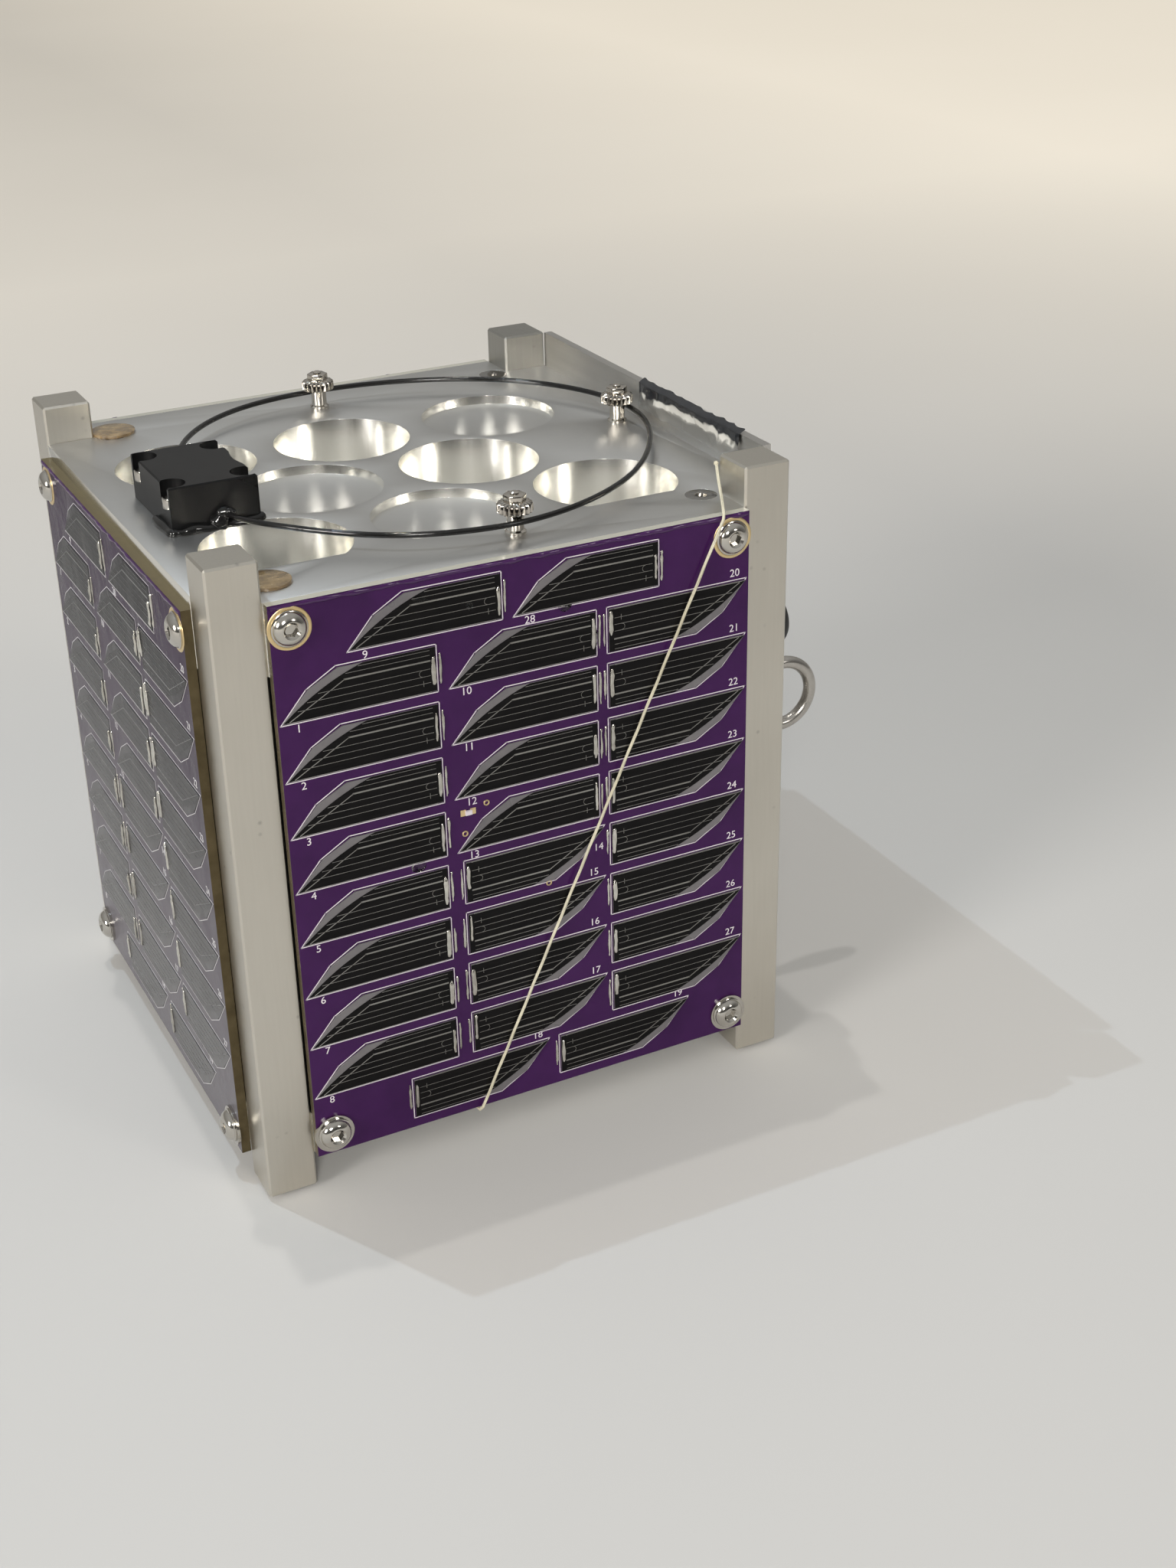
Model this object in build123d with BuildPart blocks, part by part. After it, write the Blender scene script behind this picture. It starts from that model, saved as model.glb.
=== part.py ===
from build123d import *
import math
import os

os.makedirs("parts", exist_ok=True)

# One-unit cube satellite. Millimetres, +Z up, origin on the floor under the middle
# of the square frame. -Y is the front board, -X the left board.

# frame
FOOTPRINT = 100.0          # outside to outside of the rails
RAIL = 8.5                 # side of a square rail
RAIL_LENGTH = 113.5
RAIL_CHAMFER = 0.35
FOOT_DROP = 0.8            # how far a separation foot stands below its rail
FOOT_DIA = 3.4
FOOT_LENGTH = 3.8
FOOT_CHAMFER = 0.3
FOOT_BORE_GAP = 0.05
END_SETBACK = 6.75         # from a rail's end to the plate's face
TOP_PLATE = 12.0
BOTTOM_PLATE = 8.0

# pockets
POCKET_DIA = 24.6
DEEP = 9.5
SHALLOW = 1.6
POCKET_RIM = 13.2          # pockets stop at this distance from the plate's front and back

# boards on the outer faces
BOARD = 1.6
BOARD_GAP = 0.1            # between a board and the rails beside it
BOARD_SCREW_INSET_X = 3.1
BOARD_SCREW_INSET_Z = 4.0
LEFT_BOARD_DROP = 2.3      # the left board hangs this much lower than the others

# solar cells: wing-shaped wafers inside printed outlines, three across a board
CELL_ROWS = 10
CELL_HEIGHT = 7.5
CELL_T = 0.3
CELL_EDGE = 0.3            # from the printed outline to the wafer
CELL_SHOULDER = 9.5        # from the tip to the start of the upper long edge
CELL_FACET_X = 4.5         # from the tip to the corner between the two facets
CELL_FACET_Z = 4.9
CELL_MARGIN_X = 0.4        # from a board's side to the outer columns
CELL_MARGIN_Z = 1.8        # from a board's end to the end rows
COLUMN_GAP = 1.85
END_ROW_GAP = 1.8
TOP_ROW_SHIFT = -2.5       # middle of the top row, from the board's centre line
BOTTOM_ROW_SHIFT = 3.3
LOWER_MIDDLE_SHIFT = 0.9   # lower half of the middle column

# small screws
HEAD_DIA = 5.7
HEAD_T = 1.65
HEAD_ROUND = 1.2
SHANK_DIA = 3.0
SHANK_LENGTH = 6.5
SOCKET = 2.0               # across the flats of a hexagon socket
SOCKET_DEPTH = 1.0
WASHER_DIA = 7.0
WASHER_T = 0.5
SUNK_DIA = 5.4
SUNK_T = 1.5
PLATE_SCREW_INSET_X = 3.1  # from the rails' inner faces
PLATE_SCREW_INSET_Y = 9.0  # from the plate's front and back
PLATE_SCREW_LENGTH = 7.0
BORE_GAP = 0.02            # between a screw and its hole
END_SLACK = 0.2            # past the end of a screw in a blind hole

# antenna
BOX_SETBACK = 5.7          # from the plate's left side
BOX_WIDTH = 14.9
BOX_LENGTH = 21.0
BOX_FRONT = -15.3
BOX_HEIGHT = 7.7
BOX_CHAMFER = 0.25
BOX_POCKET_RIM = 0.8       # the box's right side is cut round the pocket beside it
BOX_SCREW_INSET_X = 1.3
BOX_SCREW_INSET_Y = 2.7
BOX_COUNTERBORE = 4.7
BOX_COUNTERBORE_DEPTH = 4.0
BOX_SCREW_HEAD = 3.4
BOX_SCREW_T = 1.8
WIRE_DIA = 0.95
WIRE_LIFT = 2.4            # wire's centre above the plate
WIRE_GRIP = 2.5            # wire held inside the box
WIRE_BORE_GAP = 0.1
WIRE_EXIT = 8.7            # mouths of the wire's bores, from the box's left side
WIRE_RETURN = 7.9

# posts that carry the antenna wire, and their nuts; heights are above the top plate
POST_FOOT = 4.6
POST_DIA = 3.4
POST_WAIST = 2.9
POST_FLARE = 0.9           # height of the flared foot
POST_NECK = 1.8            # height where the waist starts
POST_SEAT = 3.6            # height of the nut's seat
POST_TENON_DIA = 2.5
POST_TENON = 4.0
STUD_DIA = 1.4
STUD_TOP = 7.3
STUD_ROUND = 0.2
NUT_DIA = 5.9
NUT_BAND = 1.6             # height of the gripping band
NUT_BEVEL = 0.25
NUT_COLLAR_DIA = 3.6
NUT_COLLAR = 1.4
NUT_RUN = 0.02             # between a nut and its post

# derived heights and widths
HALF = FOOTPRINT / 2
RAIL_Z0 = FOOT_DROP
RAIL_Z1 = RAIL_Z0 + RAIL_LENGTH
RAIL_MID = HALF - RAIL / 2
INNER = HALF - RAIL        # inner faces of the rails
BOTTOM_Z0 = RAIL_Z0 + END_SETBACK
BOTTOM_Z1 = BOTTOM_Z0 + BOTTOM_PLATE
TOP_Z1 = RAIL_Z1 - END_SETBACK
TOP_Z0 = TOP_Z1 - TOP_PLATE
MID_Z = (TOP_Z1 + BOTTOM_Z0) / 2
BOARD_WIDTH = 2 * (INNER - BOARD_GAP)
BOARD_HEIGHT = TOP_Z1 - BOTTOM_Z0
BOX_LEFT = BOX_SETBACK - HALF
BOX_RIGHT = BOX_LEFT + BOX_WIDTH
BOX_BACK = BOX_FRONT + BOX_LENGTH
BOX_TOP = TOP_Z1 + BOX_HEIGHT
WIRE_Z = TOP_Z1 + WIRE_LIFT


def keep(part, name):
    part.label = name
    export_step(part, f"parts/{name}.step")


def box_between(low, high):
    """Add a plain block given by two opposite corners."""
    size = [high[i] - low[i] for i in range(3)]
    middle = [(high[i] + low[i]) / 2 for i in range(3)]
    with Locations(tuple(middle)):
        Box(*size)


# ---------------------------------------------------------------- rails and feet
# name, x side, y side
RAILS = (
    ("rail_front_left", -1, -1),
    ("rail_front_right", 1, -1),
    ("rail_back_left", -1, 1),
    ("rail_back_right", 1, 1),
)
for name, sx, sy in RAILS:
    with BuildPart() as rail:
        with Locations((sx * RAIL_MID, sy * RAIL_MID, (RAIL_Z0 + RAIL_Z1) / 2)):
            Box(RAIL, RAIL, RAIL_LENGTH)
        chamfer(rail.edges(), RAIL_CHAMFER)
        with Locations((sx * RAIL_MID, sy * RAIL_MID, RAIL_Z0)):
            Cylinder(
                FOOT_DIA / 2 + FOOT_BORE_GAP,
                FOOT_LENGTH - FOOT_DROP,
                align=(Align.CENTER, Align.CENTER, Align.MIN),
                mode=Mode.SUBTRACT,
            )
    keep(rail.part, name)

with BuildPart() as feet:
    for name, sx, sy in RAILS:
        with Locations((sx * RAIL_MID, sy * RAIL_MID, 0)):
            Cylinder(FOOT_DIA / 2, FOOT_LENGTH, align=(Align.CENTER, Align.CENTER, Align.MIN))
    chamfer(feet.edges().group_by(Axis.Z)[0], FOOT_CHAMFER)
keep(feet.part, "separation_feet")

# ---------------------------------------------------------------- end plates
# pocket centre x, y, depth
TOP_POCKETS = (
    (-31.3, -27.6, DEEP),
    (-2.2, -27.8, SHALLOW),
    (27.6, -27.4, DEEP),
    (-16.9, -4.9, SHALLOW),
    (12.3, -5.1, DEEP),
    (-31.7, 17.6, DEEP),
    (-2.7, 17.4, DEEP),
    (26.3, 17.3, SHALLOW),
)
BOTTOM_POCKETS = tuple((x, y, SHALLOW) for x, y, depth in TOP_POCKETS)
PLATE_SCREW_X = INNER - PLATE_SCREW_INSET_X
PLATE_SCREW_Y = HALF - PLATE_SCREW_INSET_Y
PLATE_SCREWS = tuple((sx * PLATE_SCREW_X, sy * PLATE_SCREW_Y) for sx in (-1, 1) for sy in (-1, 1))
POCKET_LIMIT = HALF - POCKET_RIM

# post centre x, y
FRONT_POST_INSET = 8.4
RIGHT_POST_INSET = 4.6
BACK_POST_INSET = 11.7
POSTS = (
    (4.0, FRONT_POST_INSET - HALF),
    (HALF - RIGHT_POST_INSET, 2.0),
    (1.0, HALF - BACK_POST_INSET),
)

# walls that carry boards: centre direction as an angle about Z, how far the board hangs
# below the plates' middle, and if it is a solar board
SIDES = (
    ("front", -90, 0, True),
    ("left", 180, LEFT_BOARD_DROP, True),
    ("back", 90, 0, True),
    ("right", 0, 0, False),
)


def side_plane(angle, reach, drop):
    """Plane on the outer side at an angle about Z: its X runs along the side, its Y up."""
    turn = math.radians(angle)
    normal = (math.cos(turn), math.sin(turn), 0)
    along = (-math.sin(turn), math.cos(turn), 0)
    return Plane(
        origin=(reach * normal[0], reach * normal[1], MID_Z - drop), x_dir=along, z_dir=normal
    )


SCREW_X = BOARD_WIDTH / 2 - BOARD_SCREW_INSET_X
SCREW_Z = BOARD_HEIGHT / 2 - BOARD_SCREW_INSET_Z
BOARD_SCREWS = tuple((sx * SCREW_X, sz * SCREW_Z) for sx in (-1, 1) for sz in (-1, 1))
LOWER_SCREWS = tuple((x, z) for x, z in BOARD_SCREWS if z < 0)


def plate(z0, z1, face_z, inward, pockets):
    """End plate between the rails with round pockets and screw holes."""
    with BuildPart() as body:
        box_between((-HALF, -HALF, z0), (HALF, HALF, z1))
        for name, sx, sy in RAILS:
            with Locations((sx * RAIL_MID, sy * RAIL_MID, (z0 + z1) / 2)):
                Box(RAIL, RAIL, z1 - z0, mode=Mode.SUBTRACT)
        for x, y, depth in pockets:
            with BuildPart(mode=Mode.PRIVATE) as hollow:
                with Locations((x, y, face_z + inward * depth / 2)):
                    Cylinder(POCKET_DIA / 2, depth)
                with Locations((0, 0, face_z)):
                    Box(FOOTPRINT, 2 * POCKET_LIMIT, 4 * depth, mode=Mode.INTERSECT)
            add(hollow.part, mode=Mode.SUBTRACT)
        for x, y in PLATE_SCREWS:
            with Locations((x, y, face_z + inward * SUNK_T / 2)):
                Cylinder(SUNK_DIA / 2 + BORE_GAP, SUNK_T, mode=Mode.SUBTRACT)
            with Locations((x, y, face_z + inward * PLATE_SCREW_LENGTH / 2)):
                Cylinder(SHANK_DIA / 2 + BORE_GAP, PLATE_SCREW_LENGTH, mode=Mode.SUBTRACT)
        for name, angle, drop, solar in SIDES:
            with Locations(side_plane(angle, HALF - SHANK_LENGTH / 2, drop)):
                with Locations(*BOARD_SCREWS):
                    Cylinder(SHANK_DIA / 2 + BORE_GAP, SHANK_LENGTH, mode=Mode.SUBTRACT)
    return body.part


with BuildPart() as top_plate:
    add(plate(TOP_Z0, TOP_Z1, TOP_Z1, -1, TOP_POCKETS))
    for x, y in POSTS:
        with Locations((x, y, TOP_Z1 - POST_TENON / 2)):
            Cylinder(POST_TENON_DIA / 2 + BORE_GAP, POST_TENON, mode=Mode.SUBTRACT)
keep(top_plate.part, "top_plate")

with BuildPart() as bottom_plate:
    add(plate(BOTTOM_Z0, BOTTOM_Z1, BOTTOM_Z0, 1, BOTTOM_POCKETS))
keep(bottom_plate.part, "bottom_plate")

# ---------------------------------------------------------------- boards and cells
# Cells on a board seen from outside: x of the square end, z of the lower long edge and
# which way the tip points. z is measured from the board's bottom.
OUTLINE = (BOARD_WIDTH - 2 * CELL_MARGIN_X - 2 * COLUMN_GAP) / 3
OUTLINE_HEIGHT = CELL_HEIGHT + 2 * CELL_EDGE
CELL_LENGTH = OUTLINE - 2 * CELL_EDGE
ROW_PITCH = (BOARD_HEIGHT - 2 * CELL_MARGIN_Z - OUTLINE_HEIGHT) / (CELL_ROWS - 1)
ROW_Z = [CELL_MARGIN_Z + row * ROW_PITCH for row in range(CELL_ROWS)]
COLUMN_X = OUTLINE / 2 + COLUMN_GAP
MIDDLE_ROWS = CELL_ROWS // 2
TIP_LEFT = -1
TIP_RIGHT = 1
CELLS = [(TOP_ROW_SHIFT - END_ROW_GAP / 2, ROW_Z[-1], TIP_LEFT)]
CELLS += [(TOP_ROW_SHIFT + END_ROW_GAP / 2 + OUTLINE, ROW_Z[-1], TIP_LEFT)]
CELLS += [(-COLUMN_X, z, TIP_LEFT) for z in ROW_Z[1:-1]]
CELLS += [(OUTLINE / 2, z, TIP_LEFT) for z in ROW_Z[MIDDLE_ROWS:-1]]
CELLS += [(LOWER_MIDDLE_SHIFT - OUTLINE / 2, z, TIP_RIGHT) for z in ROW_Z[1:MIDDLE_ROWS]]
CELLS += [(COLUMN_X, z, TIP_RIGHT) for z in ROW_Z[1:-1]]
CELLS += [(BOTTOM_ROW_SHIFT - END_ROW_GAP / 2 - OUTLINE, ROW_Z[0], TIP_RIGHT)]
CELLS += [(BOTTOM_ROW_SHIFT + END_ROW_GAP / 2, ROW_Z[0], TIP_RIGHT)]

# outline of one wafer with its square end at x = 0 and its tip to the left
WING = (
    (0, 0),
    (0, CELL_HEIGHT),
    (CELL_SHOULDER - CELL_LENGTH, CELL_HEIGHT),
    (CELL_FACET_X - CELL_LENGTH, CELL_FACET_Z),
    (-CELL_LENGTH, 0),
)


def wing_at(x, z, tip):
    """Wafer outline on the board; a tip to the right is the same wafer turned half round."""
    if tip == TIP_LEFT:
        return [(x - CELL_EDGE + px, z + CELL_EDGE + pz) for px, pz in WING]
    return [(x + CELL_EDGE - px, z + CELL_EDGE + CELL_HEIGHT - pz) for px, pz in WING]


for name, angle, drop, solar in SIDES:
    if not solar:
        continue
    with BuildPart() as board:
        with BuildSketch(side_plane(angle, HALF, drop)):
            Rectangle(BOARD_WIDTH, BOARD_HEIGHT)
            with Locations(*BOARD_SCREWS):
                Circle(SHANK_DIA / 2 + BORE_GAP, mode=Mode.SUBTRACT)
        extrude(amount=BOARD)
    keep(board.part, f"solar_board_{name}")
    with BuildPart() as cells:
        with BuildSketch(side_plane(angle, HALF + BOARD, drop)):
            for x, z, tip in CELLS:
                Polygon(*[(px, pz - BOARD_HEIGHT / 2) for px, pz in wing_at(x, z, tip)], align=None)
        extrude(amount=CELL_T)
    keep(cells.part, f"solar_cells_{name}")

# ---------------------------------------------------------------- right side panel
PANEL_SHORT = 0.1          # the panel ends this much below the rails' top ends
PIN_INSET = 21.4           # pull pin, from the panel's front edge
PIN_DROP = 1.55            # pull pin, below the panel's middle
PIN_DIA = 3.0
PIN_GAP = 0.05
PIN_SOCKET_DIA = 7.0
PIN_SOCKET = 9.0
CAP_INSET = 5.4
CAP_RISE = 22.45
CAP_DIA = 9.5
CAP_HEIGHT = 5.6
CAP_ROUND = 1.4
PANEL_FRONT = -BOARD_WIDTH / 2
PANEL_FACE = HALF + BOARD
PIN_Y = PANEL_FRONT + PIN_INSET
PIN_Z = MID_Z - PIN_DROP
CAP_Y = PANEL_FRONT + CAP_INSET
CAP_Z = MID_Z + CAP_RISE

with BuildPart() as panel:
    box_between((HALF, PANEL_FRONT, BOTTOM_Z0), (PANEL_FACE, -PANEL_FRONT, RAIL_Z1 - PANEL_SHORT))
    with Locations(side_plane(0, HALF + BOARD / 2, 0)):
        with Locations(*BOARD_SCREWS):
            Cylinder(SHANK_DIA / 2 + BORE_GAP, BOARD, mode=Mode.SUBTRACT)
    with Locations(Location((HALF, PIN_Y, PIN_Z), (0, 90, 0))):
        Cylinder(PIN_DIA / 2 + PIN_GAP, 2 * BOARD, mode=Mode.SUBTRACT)
keep(panel.part, "side_panel")

# turned bush behind the panel that guides the pull pin
with BuildPart() as socket:
    with BuildSketch(Plane(origin=(HALF - PIN_SOCKET, PIN_Y, PIN_Z), z_dir=(1, 0, 0))):
        Circle(PIN_SOCKET_DIA / 2)
        Circle(PIN_DIA / 2 + PIN_GAP, mode=Mode.SUBTRACT)
    extrude(amount=PIN_SOCKET)
keep(socket.part, "pin_socket")

with BuildPart() as port_cap:
    with Locations(Location((PANEL_FACE, CAP_Y, CAP_Z), (0, 90, 0))):
        Cylinder(CAP_DIA / 2, CAP_HEIGHT, align=(Align.CENTER, Align.CENTER, Align.MIN))
    fillet(port_cap.edges().group_by(Axis.X)[-1], CAP_ROUND)
keep(port_cap.part, "port_cap")

# ---------------------------------------------------------------- pull pin with its ring
RING_RADIUS = 6.4
RING_WIRE = 1.2
PIN_COLLAR_DIA = 5.0
PIN_COLLAR = 2.0
PIN_SHORT = 1.0            # the pin ends this much before its bush does
SHAFT_OUT = 10.4           # from the panel's face to the ring's wire
PIN_INNER_END = HALF - PIN_SOCKET + PIN_SHORT
SHAFT_END = PANEL_FACE + SHAFT_OUT
RING_CENTRE_X = SHAFT_END + RING_RADIUS
with BuildPart() as pull_pin:
    with Locations(Location((PIN_INNER_END, PIN_Y, PIN_Z), (0, 90, 0))):
        Cylinder(PIN_DIA / 2, SHAFT_END - PIN_INNER_END, align=(Align.CENTER, Align.CENTER, Align.MIN))
    with Locations(Location((PANEL_FACE + PIN_GAP, PIN_Y, PIN_Z), (0, 90, 0))):
        Cylinder(PIN_COLLAR_DIA / 2, PIN_COLLAR, align=(Align.CENTER, Align.CENTER, Align.MIN))
    with Locations(Location((RING_CENTRE_X, PIN_Y, PIN_Z), (90, 0, 0))):
        Torus(RING_RADIUS, RING_WIRE)
keep(pull_pin.part, "pull_pin")

# ---------------------------------------------------------------- screws and washers
def button_screw():
    """Round-headed screw along Z with its head's seat at zero."""
    with BuildPart() as screw:
        Cylinder(HEAD_DIA / 2, HEAD_T, align=(Align.CENTER, Align.CENTER, Align.MIN))
        fillet(screw.edges().group_by(Axis.Z)[-1], HEAD_ROUND)
        with BuildSketch(Plane.XY.offset(HEAD_T)):
            RegularPolygon(SOCKET / 2, 6, major_radius=False)
        extrude(amount=-SOCKET_DEPTH, mode=Mode.SUBTRACT)
    return screw.part


# The upper screws sit on the board itself, the lower ones on washers.
for name, angle, drop, solar in SIDES:
    with BuildPart() as screws:
        for x, z in BOARD_SCREWS:
            seat = BOARD if z > 0 else BOARD + WASHER_T
            with Locations(side_plane(angle, HALF + seat, drop)):
                with Locations((x, z)):
                    add(button_screw())
                    Cylinder(
                        SHANK_DIA / 2,
                        SHANK_LENGTH + seat - END_SLACK,
                        align=(Align.CENTER, Align.CENTER, Align.MAX),
                    )
    keep(screws.part, f"board_screws_{name}")
    with BuildPart() as washers:
        with BuildSketch(side_plane(angle, HALF + BOARD, drop)):
            with Locations(*LOWER_SCREWS):
                Circle(WASHER_DIA / 2)
                Circle(SHANK_DIA / 2 + BORE_GAP, mode=Mode.SUBTRACT)
        extrude(amount=WASHER_T)
    keep(washers.part, f"board_washers_{name}")

# face z, inward direction
for name, face_z, inward in (("plate_screws_top", TOP_Z1, -1), ("plate_screws_bottom", BOTTOM_Z0, 1)):
    with BuildPart() as sunk:
        for x, y in PLATE_SCREWS:
            with Locations((x, y, face_z + inward * SUNK_T / 2)):
                Cylinder(SUNK_DIA / 2, SUNK_T)
            with Locations((x, y, face_z + inward * (PLATE_SCREW_LENGTH - END_SLACK) / 2)):
                Cylinder(SHANK_DIA / 2, PLATE_SCREW_LENGTH - END_SLACK)
        with BuildSketch(Plane.XY.offset(face_z)):
            with Locations(*PLATE_SCREWS):
                RegularPolygon(SOCKET / 2, 6, major_radius=False)
        extrude(amount=inward * SOCKET_DEPTH, mode=Mode.SUBTRACT)
    keep(sunk.part, name)

# resin poured over the two left plate screws
RESIN_DIA = 8.0
RESIN_T = 0.5
# y side, x and y from the screw's centre
RESIN_SPOTS = (
    (-1, 0.2, -1.2),
    (1, 0.8, 1.8),
)
with BuildPart() as resin:
    for side, shift_x, shift_y in RESIN_SPOTS:
        with Locations((shift_x - PLATE_SCREW_X, side * PLATE_SCREW_Y + shift_y, TOP_Z1)):
            Cylinder(RESIN_DIA / 2, RESIN_T, align=(Align.CENTER, Align.CENTER, Align.MIN))
    for name, sx, sy in RAILS:
        with Locations((sx * RAIL_MID, sy * RAIL_MID, TOP_Z1)):
            Box(RAIL, RAIL, 4 * RESIN_T, mode=Mode.SUBTRACT)
keep(resin.part, "resin_caps")

# ---------------------------------------------------------------- antenna box
BOX_SCREWS = tuple(
    (x, y)
    for x in (BOX_LEFT + BOX_SCREW_INSET_X, BOX_RIGHT - BOX_SCREW_INSET_X)
    for y in (BOX_FRONT + BOX_SCREW_INSET_Y, BOX_BACK - BOX_SCREW_INSET_Y)
)
WIRE_EXIT_X = BOX_LEFT + WIRE_EXIT
WIRE_RETURN_X = BOX_LEFT + WIRE_RETURN
BESIDE_BOX = TOP_POCKETS[3]
with BuildPart() as antenna_box:
    box_between((BOX_LEFT, BOX_FRONT, TOP_Z1), (BOX_RIGHT, BOX_BACK, BOX_TOP))
    with Locations((BESIDE_BOX[0], BESIDE_BOX[1], TOP_Z1)):
        Cylinder(POCKET_DIA / 2 + BOX_POCKET_RIM, 4 * BOX_HEIGHT, mode=Mode.SUBTRACT)
    chamfer(antenna_box.edges().group_by(Axis.Z)[-1], BOX_CHAMFER)
    for x, y in BOX_SCREWS:
        with Locations((x, y, BOX_TOP)):
            Cylinder(
                BOX_COUNTERBORE / 2,
                BOX_COUNTERBORE_DEPTH,
                align=(Align.CENTER, Align.CENTER, Align.MAX),
                mode=Mode.SUBTRACT,
            )
    # x, y of the mouth and the way in
    bore = WIRE_GRIP + END_SLACK
    for x, y, way in ((WIRE_EXIT_X, BOX_FRONT, 1), (WIRE_RETURN_X, BOX_BACK, -1)):
        with Locations(Location((x, y + way * bore / 2, WIRE_Z), (90, 0, 0))):
            Cylinder(WIRE_DIA / 2 + WIRE_BORE_GAP, bore, mode=Mode.SUBTRACT)
keep(antenna_box.part, "antenna_box")

with BuildPart() as box_screws:
    for x, y in BOX_SCREWS:
        with Locations((x, y, BOX_TOP - BOX_COUNTERBORE_DEPTH)):
            Cylinder(BOX_SCREW_HEAD / 2, BOX_SCREW_T, align=(Align.CENTER, Align.CENTER, Align.MIN))
keep(box_screws.part, "antenna_box_screws")

# ---------------------------------------------------------------- antenna wire and posts
# points of the loop, from the box's front round to its back: how many half footprints to
# the frame's side that the point keeps its distance from, and that distance, for x and y
WIRE_LOOP = (
    (-1, 15.7, -1, 30.4),
    (-1, 21.4, -1, 22.2),
    (-1, 32.8, -1, 11.6),
    (0, -6.0, -1, 7.0),
    (0, 4.0, -1, 6.1),
    (0, 17.1, -1, 9.5),
    (1, -19.0, -1, 18.8),
    (1, -8.7, 0, -18.0),
    (1, -3.4, 0, -6.0),
    (1, -2.3, 0, 2.0),
    (1, -4.6, 0, 14.0),
    (1, -13.5, 1, -22.5),
    (0, 20.0, 1, -12.5),
    (0, 1.0, 1, -9.4),
    (0, -15.0, 1, -12.8),
    (-1, 23.0, 1, -22.4),
    (-1, 16.0, 0, 15.0),
)
WIRE_PATH = (
    (WIRE_EXIT_X, BOX_FRONT + WIRE_GRIP),
    (WIRE_EXIT_X, BOX_FRONT),
    *((side_x * HALF + x, side_y * HALF + y) for side_x, x, side_y, y in WIRE_LOOP),
    (WIRE_RETURN_X, BOX_BACK),
    (WIRE_RETURN_X, BOX_BACK - WIRE_GRIP),
)
with BuildPart() as wire:
    with BuildLine() as loop:
        Spline(*[(x, y, WIRE_Z) for x, y in WIRE_PATH])
    with BuildSketch(Plane(origin=loop.line @ 0, z_dir=loop.line % 0)):
        Circle(WIRE_DIA / 2)
    sweep()
keep(wire.part, "antenna_wire")

# a post and its nut, turned about their own axis: radius, height above the plate
NUT_LOW = POST_SEAT + NUT_RUN
NUT_BAND_TOP = NUT_LOW + NUT_BAND
NUT_TOP = NUT_BAND_TOP + NUT_COLLAR
NUT_BORE = STUD_DIA / 2 + NUT_RUN
POST_PROFILE = (
    (0, END_SLACK - POST_TENON),
    (POST_TENON_DIA / 2, END_SLACK - POST_TENON),
    (POST_TENON_DIA / 2, 0),
    (POST_FOOT / 2, 0),
    (POST_DIA / 2, POST_FLARE),
    (POST_WAIST / 2, POST_NECK),
    (POST_WAIST / 2, POST_SEAT),
    (STUD_DIA / 2, POST_SEAT),
    (STUD_DIA / 2, STUD_TOP - STUD_ROUND),
    (STUD_DIA / 2 - STUD_ROUND, STUD_TOP),
    (0, STUD_TOP),
)
NUT_PROFILE = (
    (NUT_BORE, NUT_LOW),
    (NUT_DIA / 2 - NUT_BEVEL, NUT_LOW),
    (NUT_DIA / 2, NUT_LOW + NUT_BEVEL),
    (NUT_DIA / 2, NUT_BAND_TOP - NUT_BEVEL),
    (NUT_COLLAR_DIA / 2, NUT_BAND_TOP),
    (NUT_COLLAR_DIA / 2, NUT_TOP - NUT_BEVEL),
    (NUT_COLLAR_DIA / 2 - NUT_BEVEL, NUT_TOP),
    (NUT_BORE, NUT_TOP),
)


def turned(profile, centres):
    """Revolve one profile at each centre on the top plate."""
    with BuildPart() as bodies:
        for x, y in centres:
            with BuildPart(mode=Mode.PRIVATE) as one:
                with BuildSketch(Plane.XZ):
                    Polygon(*profile, align=None)
                revolve(axis=Axis.Z)
            with Locations((x, y, TOP_Z1)):
                add(one.part)
    return bodies.part


with BuildPart() as posts:
    add(turned(POST_PROFILE, POSTS))
keep(posts.part, "antenna_posts")

with BuildPart() as nuts:
    add(turned(NUT_PROFILE, POSTS))
keep(nuts.part, "thumb_nuts")

# ---------------------------------------------------------------- tie thread
THREAD_DIA = 0.8
THREAD_GAP = 0.15                # thread's surface to the plates and boards it passes
THREAD_OFF = THREAD_DIA / 2 + THREAD_GAP
THREAD_Y = -(HALF + BOARD + CELL_T + THREAD_OFF)
THREAD_CORNER_Y = -(HALF + BOARD + THREAD_GAP)
THREAD_TOP_X = 36.8              # where it crosses the upper plate's front edge
THREAD_BOTTOM_X = -11.2          # where it goes under the lower plate
THREAD_BEND = 0.4                # its turn over an edge
THREAD_TUCK = 4.0                # how far it runs under the lower plate
THREAD_KNOT = 1.6                # its start below the rail's top end
# from the front right rail's inner corner, over the plate's edge, down the front board
# and round under the lower plate
THREAD_POINTS = (
    (INNER - THREAD_OFF, -INNER, RAIL_Z1 - THREAD_KNOT),
    (THREAD_TOP_X, THREAD_BEND - HALF, TOP_Z1 + THREAD_OFF),
    (THREAD_TOP_X - THREAD_BEND, THREAD_CORNER_Y, TOP_Z1 + THREAD_OFF),
    (THREAD_TOP_X - 2 * THREAD_BEND, THREAD_Y, TOP_Z1 - THREAD_BEND),
    (THREAD_BOTTOM_X, THREAD_Y, BOTTOM_Z0 + THREAD_BEND),
    (THREAD_BOTTOM_X - THREAD_BEND, THREAD_CORNER_Y, BOTTOM_Z0 - THREAD_OFF),
    (THREAD_BOTTOM_X - 2 * THREAD_BEND, THREAD_TUCK - HALF, BOTTOM_Z0 - THREAD_OFF),
)
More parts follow.
